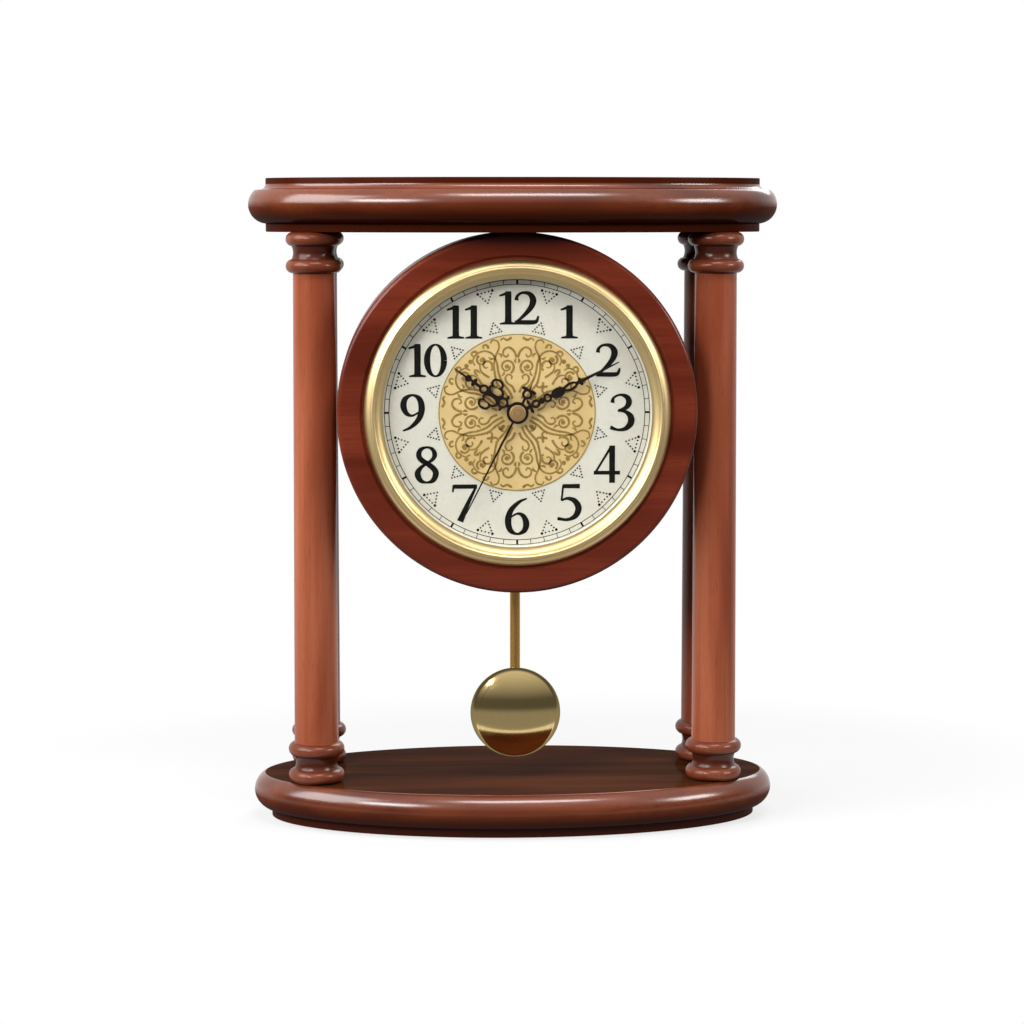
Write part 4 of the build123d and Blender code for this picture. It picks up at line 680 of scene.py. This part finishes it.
# Numerals as pen strokes, each a few nodes (across, up, width) in millimetres from the middle of its foot
short_digit = 14.6
tall_digit = 16.5
one = [[(0, 0, 7.4), (0, 0.7, 7.2), (0, 1.15, 4.0), (0, 2.2, 2.9), (0, 12.6, 2.9), (0, 14.6, 2.6)],
       [(0.9, 14.2, 0.9), (-0.8, 13.6, 1.4), (-3.9, 12.6, 0.8)]]
two = [[(-4.3, 10.6, 1.9), (-3.9, 12.5, 1.4), (-1.8, 13.9, 1.2), (1.3, 13.5, 2.0), (3.0, 11.0, 2.9),
        (2.2, 7.8, 2.5), (-0.8, 4.2, 1.7), (-4.4, 1.0, 1.0)],
       [(-5.1, 0.95, 1.7), (-2.0, 1.0, 2.0), (2.6, 1.0, 2.0), (4.5, 1.5, 1.6), (5.4, 3.8, 0.8)]]
three = [[(-4.0, 12.4, 2.0), (-3.4, 14.6, 1.2), (-0.6, 15.9, 1.1), (2.4, 14.9, 2.2), (3.3, 12.6, 2.7),
          (1.9, 10.2, 2.0), (-1.6, 8.9, 0.9)],
         [(-1.6, 8.9, 0.9), (1.6, 8.5, 1.5), (4.0, 6.4, 2.7), (4.1, 3.4, 2.9), (1.8, 1.0, 2.0),
          (-1.6, 0.5, 1.2), (-4.9, 1.6, 1.8)]]
four = [[(2.1, 0, 2.6), (2.1, 8, 2.6), (2.1, 16.5, 2.6)],
        [(1.8, 16.2, 1.2), (-1.8, 10.3, 1.0), (-5.4, 4.4, 1.0)],
        [(-6.0, 4.5, 1.7), (0, 4.5, 1.7), (5.6, 4.5, 1.7)]]
five = [[(-2.8, 15.4, 1.9), (1, 15.4, 1.9), (4.7, 15.4, 2.1)],
        [(-2.7, 15.8, 0.9), (-3.0, 12.4, 0.9), (-3.4, 9.1, 0.9)],
        [(-3.5, 9.0, 0.8), (-0.8, 10.0, 1.4), (2.4, 8.9, 2.4), (4.1, 5.8, 2.9), (2.8, 2.3, 2.4),
         (-0.8, 0.6, 1.4), (-5.2, 1.1, 1.5)]]
six = [[(4.3, 16.2, 0.7), (0.8, 14.6, 1.5), (-2.7, 11.0, 2.4), (-4.0, 6.4, 2.9), (-3.0, 2.2, 2.4),
        (0, 0.5, 1.1), (3.1, 2.0, 2.3), (4.0, 5.2, 2.8), (2.7, 8.4, 2.1), (0.2, 9.5, 1.1), (-2.8, 8.0, 0.8)]]
seven = [[(-5.2, 15.4, 1.9), (0, 15.4, 1.9), (5.3, 15.4, 1.9)],
         [(-5.1, 16.0, 0.9), (-5.2, 14.4, 0.9), (-5.4, 12.9, 0.8)],
         [(5.0, 15.6, 1.0), (1.4, 8.2, 1.9), (-2.2, 0, 2.9)]]
eight = [[(0.6, 8.6, 2.3), (3.0, 6.6, 2.5), (4.0, 4.4, 2.7), (2.8, 1.5, 2.2), (0, 0.5, 1.0), (-2.8, 1.5, 2.2),
          (-4.0, 4.4, 2.7), (-2.6, 7.0, 1.8), (0, 8.8, 1.2), (2.6, 10.7, 1.7), (3.5, 12.9, 2.2),
          (2.4, 15.2, 1.6), (0, 16.0, 1.0), (-2.6, 15.0, 1.9), (-3.5, 12.7, 2.4), (-2.4, 10.5, 2.4),
          (0.6, 8.6, 2.3)]]
nine = [[(-across, tall_digit - up, width) for across, up, width in stroke] for stroke in six]
nought_middle = 7.3
nought_half_width = 3.7
nought_half_height = 6.9
nought_thin = 0.9
nought_swell = 1.9
nought_contrast = 1.6
nought_nodes = 25
nought_turn = np.linspace(0, 2 * np.pi, nought_nodes)
nought = [np.column_stack([nought_half_width * np.cos(nought_turn),
                           nought_middle + nought_half_height * np.sin(nought_turn),
                           nought_thin + nought_swell * np.abs(np.cos(nought_turn)) ** nought_contrast])]
numerals = {1: [one], 2: [two], 3: [three], 4: [four], 5: [five], 6: [six], 7: [seven], 8: [eight], 9: [nine],
            10: [one, nought], 11: [one, one], 12: [one, two]}
short_hours = (1, 2, 10, 11, 12)

print_shapes = []
for radius in (track_inner, track_outer):
    print_shapes.append(bar_along(ring_line(radius, track_line), dial_low.y))
for minute in range(60):
    tick_ends = np.outer([track_inner, track_outer], clock_way(6 * minute))
    tick_width = minute_tick if minute % 5 else hour_tick
    print_shapes.append(bar_along(np.column_stack([tick_ends, np.full(2, tick_width)]), dial_low.y))
for hour, digits in numerals.items():
    middle = numeral_ring * clock_way(30 * hour)
    height = millimetre * (short_digit if hour in short_hours else tall_digit)
    for place, digit in enumerate(digits):
        foot = middle + np.array([digit_gap * (place - (len(digits) - 1) / 2), -height / 2])
        for layer, stroke in enumerate(digit):
            line = smooth_line(stroke) * millimetre
            line[:, :2] += foot
            print_shapes.append(bar_along(line, dial_low.y, layer))

# Dotted triangles: an outer ring that points inwards, with larger dots at two corners, and an inner ring
# that points outwards
outer_corners = np.array([(-3.3, 2.0), (3.3, 2.0), (0.0, -2.8)]) * millimetre
inner_corners = np.array([(-2.6, -1.7), (2.6, -1.7), (0.0, 2.7)]) * millimetre
side_shares = (np.arange(dots_on_side) / dots_on_side)[None, :, None]
dot_places = []
dot_radii = []
for corners, ring, corner_radius in ((outer_corners, outer_triangle_ring, corner_dot_radius),
                                     (inner_corners, inner_triangle_ring, dot_radius)):
    ahead = np.roll(corners, -1, axis=0)
    outline = (corners[:, None] + side_shares * (ahead - corners)[:, None]).reshape(-1, 2)
    sizes = np.full(len(outline), dot_radius)
    sizes[[0, dots_on_side]] = corner_radius
    for hour in range(12):
        outwards = clock_way(30 * hour + 15)
        aside = outwards[::-1] * [1, -1]
        dot_places.append(outline[:, :1] * aside + (ring + outline[:, 1:]) * outwards)
        dot_radii.append(sizes)
print_shapes.append(dots(np.vstack(dot_places), np.concatenate(dot_radii), dial_low.y))
# Screen-printed ink: a soft greenish black with no sheen, a little thinner in places
black_ink = grained("black_screen_ink", ("#11110d", "#0b0b08"), ink_mottle, shine=(0.6, 0.75),
                    relief=0.000001, sockets={"Specular IOR Level": 0.05})
make_piece("dial_print", *together(print_shapes), [black_ink], "clock", "dial_silver")

# Medallion: a thin gold-anodised foil disc glued to the dial, printed with mirrored scrollwork in ochre.
# A threaded nut through its middle holds the movement.
medallion_low, medallion_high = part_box("dial_medallion")
medallion_radius = medallion_high.x
foil_cloud = 0.018
foil_grain = 0.0009
foil_relief = 0.000006
foil_smooth = 0.38
foil_rough = 0.55
scroll_width = 1.15
stem_tip_share = 0.6
volute_taper = 0.45
volute_steps = 25
border_line = 0.0004
scroll_disc_radius = 0.00105
medallion_profile = [(dial_hole, medallion_high.y), (medallion_radius, medallion_high.y),
                     (medallion_radius, medallion_low.y), (dial_hole, medallion_low.y)]
# Gold foil with a silky face: warm yellow, deeper in soft clouds, over a fine rolled grain drawn coarser
gold_foil, foil_tree, foil_place = new_material("gold_anodised_foil")
foil_clouds = add(foil_tree, "TexNoise", {"Vector": foil_place, "Scale": 1 / foil_cloud, "Detail": 1.0})
foil_share = add(foil_tree, "MapRange", {"Value": foil_clouds, "From Min": speck_noise_low,
                                         "From Max": speck_noise_high})
foil_tone = add(foil_tree, "Mix", {0: foil_share, 6: to_linear("#c4a46b"), 7: to_linear("#d3b57f")},
                data_type="RGBA")
foil_specks = add(foil_tree, "TexNoise", {"Vector": foil_place, "Scale": 1 / foil_grain, "Detail": 1.0})
foil_sheen = add(foil_tree, "MapRange", {"Value": foil_specks, "To Min": foil_smooth, "To Max": foil_rough})
foil_bump = add(foil_tree, "Bump", {"Height": foil_specks, "Distance": foil_relief})
foil_shader = add(foil_tree, "BsdfPrincipled", {"Base Color": foil_tone, "Metallic": 0.15,
                                                "Roughness": foil_sheen, "Normal": foil_bump})
add(foil_tree, "OutputMaterial", {"Surface": foil_shader})
make_piece("medallion_foil", *turned(medallion_profile, (0, dial_z), 1, lens_steps, closed=True), [gold_foil],
           "clock", "dial_gold", ["dial_medallion"])


def volute(across, up, first_degrees, sweep_degrees, outer, inner):
    """Spiral line in millimetres: the radius shrinks evenly from outer to inner as the angle sweeps on."""
    share = np.linspace(0, 1, volute_steps)
    turn = np.radians(first_degrees + sweep_degrees * share)
    radius = outer + (inner - outer) * share
    return np.column_stack([across + radius * np.cos(turn), up + radius * np.sin(turn),
                            scroll_width * (1 - volute_taper * share)])


# One eighth of the scrollwork in millimetres: stems from the hub, volutes, leaves and small discs. It is
# mirrored left, right, up, down and about the diagonals
scroll_stems = [[(2.0, 6.2), (3.6, 9.6), (6.6, 13.4), (8.2, 17.6), (9.0, 22.0), (10.8, 25.6), (14.2, 27.0),
                 (17.6, 25.8), (19.4, 23.0), (18.6, 20.6)],
                [(3.4, 5.6), (5.8, 9.2), (8.6, 12.6), (9.8, 17.0), (10.2, 21.0), (9.4, 25.0), (8.0, 28.4),
                 (8.6, 31.2), (10.8, 31.8), (11.8, 30.4)],
                [(0.9, 8.8), (2.2, 11.4), (4.4, 13.0), (5.2, 15.2), (3.9, 16.8), (2.3, 15.9), (2.7, 14.7)],
                [(0.3, 24.2), (1.4, 27.0), (3.6, 28.6), (5.8, 27.6), (6.1, 25.4), (4.6, 24.5), (3.8, 25.7)],
                [(2.4, 33.0), (4.4, 31.9), (6.2, 32.6), (7.4, 31.6)],
                [(12.2, 15.4), (14.2, 16.6), (16.0, 18.4), (16.4, 21.0)]]
scroll_volutes = [(4.5, 20.2, -120, -430, 3.3, 1.3), (13.4, 20.6, 200, -330, 2.6, 0.7),
                  (15.6, 23.0, 60, -330, 2.3, 1.1), (14.2, 28.6, 200, -270, 1.5, 0.5),
                  (19.0, 25.4, 150, -250, 1.6, 0.5), (12.4, 9.6, 60, 300, 1.9, 0.6),
                  (7.4, 6.2, 200, -240, 1.6, 0.5)]
scroll_leaves = [[(6.9, 16.0, 0.2), (5.9, 17.0, 1.1), (5.7, 18.3, 0.2)],
                 [(9.9, 18.6, 0.2), (11.0, 19.0, 1.1), (11.6, 18.2, 0.2)],
                 [(9.9, 23.8, 0.2), (11.6, 23.6, 1.1), (12.6, 24.5, 0.2)],
                 [(8.8, 26.2, 0.2), (7.2, 25.4, 1.1), (6.9, 24.0, 0.2)],
                 [(0.4, 21.6, 0.2), (0.9, 22.8, 1.2), (0.3, 24.0, 0.2)],
                 [(17.0, 16.0, 0.2), (18.4, 17.4, 1.2), (18.9, 18.9, 0.2)]]
scroll_discs = np.array([(4.5, 20.2), (15.6, 23.0), (20.5, 22.3)])
disc_radii = np.full(len(scroll_discs), scroll_disc_radius)
# Layers of ink, from below: stems, volutes, leaves and discs
scroll_lines = []
for stem in scroll_stems:
    widths = np.linspace(scroll_width, stem_tip_share * scroll_width, len(stem))
    scroll_lines.append((smooth_line(np.column_stack([stem, widths])), 0))
scroll_lines += [(volute(*spiral), 1) for spiral in scroll_volutes]
scroll_lines += [(smooth_line(leaf), 2) for leaf in scroll_leaves]
disc_layer = 3
scroll_shapes = []
for side, end in ((-1, -1), (-1, 1), (1, -1), (1, 1)):
    mirror = millimetre * np.array([side, end, 1])
    for order in ([0, 1, 2], [1, 0, 2]):
        for line, layer in scroll_lines:
            scroll_shapes.append(bar_along(line[:, order] * mirror, medallion_low.y, layer))
        disc_places = scroll_discs[:, order[:2]] * mirror[:2]
        scroll_shapes.append(dots(disc_places, disc_radii, medallion_low.y, disc_layer))
# Ochre ink over the foil, thin enough in places to let its gold through; the border line is cooler
ochre_ink = grained("ochre_screen_ink", ("#93722f", "#735622"), ink_mottle, shine=(0.5, 0.65),
                    relief=0.000001)
olive_ink = grained("olive_screen_ink", ("#7b7656", "#5f5a3f"), ink_mottle, shine=(0.5, 0.65),
                    relief=0.000001)
make_piece("medallion_scrolls", *together(scroll_shapes), [ochre_ink], "clock", "dial_gold")
border_shape = bar_along(ring_line(medallion_radius - border_line, border_line), medallion_low.y)
make_piece("medallion_border", *border_shape, [olive_ink], "clock", "dial_gold")

# Hands: stamped from thin steel, pierced and enamelled a brownish black, and pressed on the wheels' tubes.
# They keep their CAD meshes.
enamel_orange_peel = 0.003
# Sprayed enamel: near black with a low even sheen and a slight orange peel
black_enamel = grained("black_enamel_on_steel", ("#1a0d0a", "#100705"), enamel_orange_peel, shine=(0.4, 0.5),
                       relief=0.000005, sockets={"Specular IOR Level": 0.12})
dress(["hour_hand", "minute_hand", "second_hand"], black_enamel)

# Cap and nut: a small turned brass button on the second hand's boss, and the brass nut under the hands that
# holds the movement to the dial.
cap_low, cap_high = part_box("second_hand_cap")
cap_radius = cap_high.x
cap_round_share = 0.6
cap_steps = 96
cap_turning_mark = 0.0005
cap_profile = [(0, cap_high.y), (cap_radius, cap_high.y)]
cap_profile += rounded_edge(cap_radius, cap_low.y, cap_round_share * (cap_high.y - cap_low.y))
cap_profile += [(0, cap_low.y)]
# Fine-turned brass, browner than the bezel, with rings from the tool drawn wider than they are
turned_brass = lathed("fine_turned_brass", ("#c9a473", "#ae8755"), dial_z, cap_turning_mark,
                      shine=(0.3, 0.42), relief=0.000008, sockets={"Metallic": 0.8})
make_piece("second_hand_button", *turned(cap_profile, (0, dial_z), 1, cap_steps), [turned_brass], "seconds",
           "polished_brass", ["second_hand_cap"])
dress(["dial_nut"], turned_brass)

# Movement: a quartz works in a black moulded box behind the dial, with its wheels, motor, board, battery and
# contacts. It keeps its CAD meshes and shows when the back cover is off.
battery_low, battery_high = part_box("battery")
pendulum_coil_low, pendulum_coil_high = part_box("pendulum_coil")
pendulum_coil_z = (pendulum_coil_low.z + pendulum_coil_high.z) / 2
wire_layer = 0.0004
wire_relief = 0.00006
wire_shine = (0.3, 0.42)
copper_tones = ("#c4753f", "#8f4a26")
copper_turns = (0.01, 0.01, wire_layer)
iron_scale = 0.0012
board_weave = 0.0009
film_crinkle = 0.002
film_relief = 0.00002
film_smooth = 0.24
film_rough = 0.36
film_edge = 0.0002
film_band = 0.016
battery_bare_foot = 0.0006
battery_bare_head = 0.0024
film_foot = battery_low.z + battery_bare_foot
film_head = battery_high.z - battery_bare_head
band_foot = film_head - film_band
# Each moulding keeps its tool's fine grain; iron shows its rolling scale, and a coil its layers of wire
moulded_black = grained("moulded_black_plastic", ("#2a2b2e", "#1c1d20"), moulding_grit, shine=(0.45, 0.58),
                        relief=0.00002)
natural_acetal = grained("moulded_natural_acetal", ("#ece8db", "#dfd9c7"), moulding_grit, shine=(0.36, 0.46),
                         relief=0.00001)
grey_plastic = grained("moulded_grey_plastic", ("#c3c1ba", "#b2b0a8"), moulding_grit, shine=(0.42, 0.52),
                       relief=0.00001)
bare_iron = grained("stamped_bare_iron", ("#94949a", "#76767a"), iron_scale, shine=(0.38, 0.5),
                    relief=0.00001, sockets={"Metallic": 1.0})
copper_wire = grained("enamelled_copper_wire", copper_tones, copper_turns, wire_shine, wire_relief,
                      sockets={"Metallic": 0.9})
flat_copper_wire = lathed("enamelled_copper_wire_flat_coil", copper_tones, pendulum_coil_z, wire_layer,
                          wire_shine, wire_relief, sockets={"Metallic": 0.9})
green_board = grained("green_coated_board", ("#267545", "#1a5f35"), board_weave, shine=(0.35, 0.48),
                      relief=0.00001)
black_resin = grained("black_resin_blob", ("#1b1b1b", "#121212"), iron_scale, shine=(0.2, 0.32),
                      relief=0.00002)
sintered_magnet = grained("sintered_magnet", ("#56565b", "#414145"), moulding_grit, shine=(0.45, 0.6),
                          relief=0.00002, sockets={"Metallic": 0.7})
# A cell in a shrunk film jacket, slate with a copper band at its head, and bare plated steel at both ends
battery_film, film_tree, film_place = new_material("shrunk_film_jacket")
film_height = add(film_tree, "SeparateXYZ", {0: film_place}).outputs["Z"]
film_starts = add(film_tree, "MapRange", {"Value": film_height, "From Min": film_foot,
                                          "From Max": film_foot + film_edge})
film_goes_on = add(film_tree, "MapRange", {"Value": film_height, "From Min": film_head,
                                           "From Max": film_head + film_edge, "To Min": 1.0, "To Max": 0.0})
film_cover = add(film_tree, "Math", {0: film_starts, 1: film_goes_on}, operation="MINIMUM")
band_share = add(film_tree, "MapRange", {"Value": film_height, "From Min": band_foot,
                                         "From Max": band_foot + film_edge})
film_tone = add(film_tree, "Mix", {0: band_share, 6: to_linear("#2b3240"), 7: to_linear("#b07a4c")},
                data_type="RGBA")
cell_tone = add(film_tree, "Mix", {0: film_cover, 6: to_linear("#c9cacb"), 7: film_tone}, data_type="RGBA")
cell_metal = add(film_tree, "MapRange", {"Value": film_cover, "To Min": 1.0, "To Max": 0.0})
film_noise = add(film_tree, "TexNoise", {"Vector": film_place, "Scale": 1 / film_crinkle})
film_sheen = add(film_tree, "MapRange", {"Value": film_noise, "To Min": film_smooth, "To Max": film_rough})
film_bump = add(film_tree, "Bump", {"Height": film_noise, "Distance": film_relief})
film_shader = add(film_tree, "BsdfPrincipled", {"Base Color": cell_tone, "Metallic": cell_metal,
                                                "Roughness": film_sheen, "Normal": film_bump})
add(film_tree, "OutputMaterial", {"Surface": film_shader})
dress(["movement_front_shell", "movement_back_shell", "pendulum_arm"], moulded_black)
dress(["rotor_pinion", "intermediate_wheel", "second_wheel", "third_wheel", "minute_wheel", "motion_wheel",
       "hour_wheel"], natural_acetal)
dress(["setting_knob"], grey_plastic)
dress(["stepper_stator"], bare_iron)
dress(["stepper_coil"], copper_wire)
dress(["pendulum_coil"], flat_copper_wire)
dress(["circuit_board"], green_board)
dress(["timing_chip"], black_resin)
dress(["battery"], battery_film)
dress(["rotor_magnet", "pendulum_magnet"], sintered_magnet)
dress(["quartz_crystal", "contact_positive", "contact_negative", "pendulum_pivot_pin"], zinc_steel)

# Pendulum: a thin brass tube hung by a flat hook from the movement's arm, with a spun brass bob clipped on.
# Tube and bob are polished and lacquered.
rod_low, rod_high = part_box("pendulum_rod")
rod_radius = rod_high.x
rod_middle_y = (rod_low.y + rod_high.y) / 2
rod_wall = 0.0006
rod_steps = 64
rod_profile = [(rod_radius, rod_low.z), (rod_radius, rod_high.z), (rod_radius - rod_wall, rod_high.z),
               (rod_radius - rod_wall, rod_low.z)]
drawing_line = (0.0005, 0.0005, 0.04)
bob_low, bob_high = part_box("bob_front")
bob_z = (bob_low.z + bob_high.z) / 2
bob_radius = bob_high.x
bob_sheet = 0.0006
bob_rim_width = 0.0013
bob_rim_front = bob_high.y - bob_sheet
bob_dome_radius = bob_radius - bob_rim_width
bob_steps = 160
spinning_mark = 0.0012
bob_profile = dome(bob_dome_radius, bob_rim_front, bob_low.y)
bob_profile += [(bob_radius, bob_rim_front), (bob_radius, bob_high.y)]
bob_profile += dome(bob_dome_radius - bob_sheet, bob_high.y, bob_low.y + bob_sheet)[::-1]
# Drawn tube keeps fine lines along its length; the spun and polished bob is almost a mirror, with faint
# rings. Both marks are drawn coarser than they are
drawn_brass = grained("drawn_brass_tube", ("#d6ad68", "#bd914d"), drawing_line, shine=(0.3, 0.4),
                      relief=0.000005, sockets={"Metallic": 1.0})
spun_brass = lathed("spun_polished_brass", ("#e8cc90", "#e5c989"), bob_z, spinning_mark, shine=(0.09, 0.13),
                    relief=0.0000002, sockets={"Metallic": 1.0})
make_piece("pendulum_tube", *turned(rod_profile, (0, rod_middle_y), 2, rod_steps, closed=True), [drawn_brass],
           "pendulum", "polished_brass", ["pendulum_rod"])
make_piece("bob_dome", *turned(bob_profile, (0, bob_z), 1, bob_steps), [spun_brass], "pendulum",
           "polished_brass", ["bob_front"])
dress(["bob_back"], spun_brass)
dress(["bob_clip", "pendulum_hook"], zinc_steel)

# Back cover: a moulded dark brown plastic disc pushed into the drum, with a notch below for a finger nail.
# It keeps its CAD mesh.
cover_grain = 0.001
# Coarser leather-like tool grain hides finger marks on a part that is handled
moulded_brown = grained("moulded_brown_plastic", ("#47332a", "#33241d"), cover_grain, shine=(0.45, 0.6),
                        relief=0.00003)
dress(["back_cover"], moulded_brown)

# Studio floor: white paper that ends close in front of the base and goes to plain white away from the clock,
# so that only a soft shadow is left round the plinth.
floor_width = 0.64
floor_front = -0.1
floor_back = 0.36
floor_middle = 0.12
floor_squeeze = 0.75
floor_shadow_near = 0.16
floor_shadow_far = 0.22
floor_shadow_share = 0.25
floor_corners = [(-floor_width / 2, floor_front, 0), (floor_width / 2, floor_front, 0),
                 (floor_width / 2, floor_back, 0), (-floor_width / 2, floor_back, 0)]
floor_mesh = bpy.data.meshes.new("paper_floor")
floor_mesh.from_pydata(floor_corners, [], [[0, 1, 2, 3]])
floor = bpy.data.objects.new("paper_floor", floor_mesh)
bpy.context.scene.collection.objects.link(floor)
# Matt paper: near the clock a quarter of what is seen of it takes shadows and the rest glows. It throws only
# a grey light back, so that the undersides stay dark
floor_paper, floor_tree, floor_place = new_material("white_paper")
floor_spoke = add(floor_tree, "Mapping", {"Vector": floor_place, "Location": (0, -floor_middle, 0),
                                          "Scale": (floor_squeeze, 1, 1)})
floor_reach = add(floor_tree, "VectorMath", {0: floor_spoke}, operation="LENGTH")
floor_white = add(floor_tree, "MapRange", {"Value": floor_reach, "From Min": floor_shadow_near,
                                           "From Max": floor_shadow_far, "To Min": 1 - floor_shadow_share})
floor_lit = add(floor_tree, "BsdfDiffuse", {"Color": to_linear("#f4f4f4")})
floor_bounce = add(floor_tree, "BsdfDiffuse", {"Color": to_linear("#8c8c8c")})
floor_glow = add(floor_tree, "Emission", {"Color": to_linear("#ffffff"), "Strength": 1.0})
floor_seen = add(floor_tree, "MixShader", {0: floor_white, 1: floor_lit, 2: floor_glow})
floor_light = add(floor_tree, "LightPath").outputs
floor_ray = add(floor_tree, "Math", {0: floor_light["Is Camera Ray"], 1: floor_light["Is Glossy Ray"]},
                operation="MAXIMUM")
floor_ray = add(floor_tree, "Math", {0: floor_ray, 1: floor_light["Is Transmission Ray"]},
                operation="MAXIMUM")
floor_ray = add(floor_tree, "Math", {0: floor_ray, 1: floor_light["Diffuse Depth"]}, operation="SUBTRACT",
                use_clamp=True)
floor_mix = add(floor_tree, "MixShader", {0: floor_ray, 1: floor_bounce, 2: floor_seen})
add(floor_tree, "OutputMaterial", {"Surface": floor_mix})
floor_mesh.materials.append(floor_paper)

# Studio room: white to the eye, and through the lens where that looks past the clock. Lacquer and brass
# mirror white behind the clock and a dim room in front, brighter upwards, with a pale table low down. The
# lens's own sharp reflections, dull surfaces and light that comes from those get a low even fill.
room_low_level = 0.1
room_table_level = 0.32
room_high_level = 0.9
fill_level = 0.06
# Where each part of the room starts and is full, as the upright or backward share of the way to it
room_start = 0.08
room_full = 0.7
table_start = -0.05
table_full = -0.17
behind_full = 0.4
world = bpy.data.worlds.new("studio")
bpy.context.scene.world = world
world.use_nodes = True
world_tree = world.node_tree
world_tree.nodes.clear()
world_ray = add(world_tree, "LightPath").outputs
world_way = add(world_tree, "SeparateXYZ", {0: add(world_tree, "TexCoord").outputs["Generated"]}).outputs
world_room = add(world_tree, "MapRange", {"Value": world_way["Z"], "From Min": room_start,
                                          "From Max": room_full, "To Min": room_low_level,
                                          "To Max": room_high_level})
world_table = add(world_tree, "MapRange", {"Value": world_way["Z"], "From Min": table_start,
                                           "From Max": table_full, "To Max": room_table_level})
world_front = add(world_tree, "Math", {0: world_room, 1: world_table}, operation="MAXIMUM")
world_behind = add(world_tree, "MapRange", {"Value": world_way["Y"], "From Max": behind_full})
world_mirror = add(world_tree, "Mix", {0: world_behind, 2: world_front, 3: 1.0})
world_through = add(world_tree, "Math", {0: world_ray["Is Transmission Ray"], 1: world_behind},
                    operation="MULTIPLY")
world_seen = add(world_tree, "Math", {0: world_ray["Is Camera Ray"], 1: world_through}, operation="MAXIMUM")
world_soft = add(world_tree, "Math", {0: world_ray["Is Glossy Ray"], 1: world_ray["Is Singular Ray"]},
                 operation="SUBTRACT", use_clamp=True)
world_gloss = add(world_tree, "Math", {0: world_soft, 1: world_mirror}, operation="MULTIPLY")
world_level = add(world_tree, "Math", {0: world_seen, 1: world_gloss}, operation="MAXIMUM")
world_level = add(world_tree, "Math", {0: world_level, 1: world_ray["Diffuse Depth"]}, operation="SUBTRACT")
world_level = add(world_tree, "Math", {0: world_level, 1: fill_level}, operation="MAXIMUM")
world_back = add(world_tree, "Background", {"Color": to_linear("#ffffff"), "Strength": world_level})
add(world_tree, "OutputWorld", {"Surface": world_back})

# Studio lamps and camera: soft boxes in front at the left and the right, a large one far left, one high up
# and one behind. The camera stands a little left of the middle, level with the top plate, and looks down.
lamp_aim_z = 0.15


def soft_box(name, azimuth, elevation, distance, width, height, level):
    """Rectangular lamp turned to the middle of the clock, azimuth to the right of the camera's side.

    Level is its brightness as seen from the clock, so its power is level times pi times its area. It is not
    seen through glass, because the lens already lets its light through as shadow rays."""
    lamp = bpy.data.lights.new(name, "AREA")
    lamp.shape = "RECTANGLE"
    lamp.size = width
    lamp.size_y = height
    lamp.energy = level * np.pi * width * height
    holder = bpy.data.objects.new(name, lamp)
    turn, lift = np.radians([azimuth, elevation])
    holder.location = (distance * np.sin(turn) * np.cos(lift), -distance * np.cos(turn) * np.cos(lift),
                       distance * np.sin(lift) + lamp_aim_z)
    holder.rotation_euler = (np.pi / 2 - lift, 0, turn)
    holder.visible_camera = False
    holder.visible_transmission = False
    bpy.context.scene.collection.objects.link(holder)


soft_box("left_soft_box", -36, 24, 1.5, width=0.5, height=0.32, level=17.0)
soft_box("side_soft_box", -68, 30, 1.5, width=0.9, height=1.0, level=6.5)
soft_box("right_soft_box", 60, 22, 1.5, width=0.5, height=0.36, level=14.0)
soft_box("high_soft_box", 8, 58, 1.6, width=0.8, height=0.3, level=14.0)
soft_box("back_soft_box", 150, 35, 1.5, width=0.7, height=0.7, level=5.0)
camera_place = (-0.05608, -1.2572, 0.27624)
camera_pitch_degrees = 4.5
camera_turn_degrees = 2.527
camera_data = bpy.data.cameras.new("camera")
camera_data.sensor_width = 36.0
camera_data.lens = 97.871
camera_data.shift_y = -0.0821
camera = bpy.data.objects.new("camera", camera_data)
camera.location = camera_place
camera.rotation_euler = (np.radians(90 - camera_pitch_degrees), 0, -np.radians(camera_turn_degrees))
bpy.context.scene.collection.objects.link(camera)
bpy.context.scene.camera = camera
bpy.context.scene.view_settings.view_transform = "Standard"
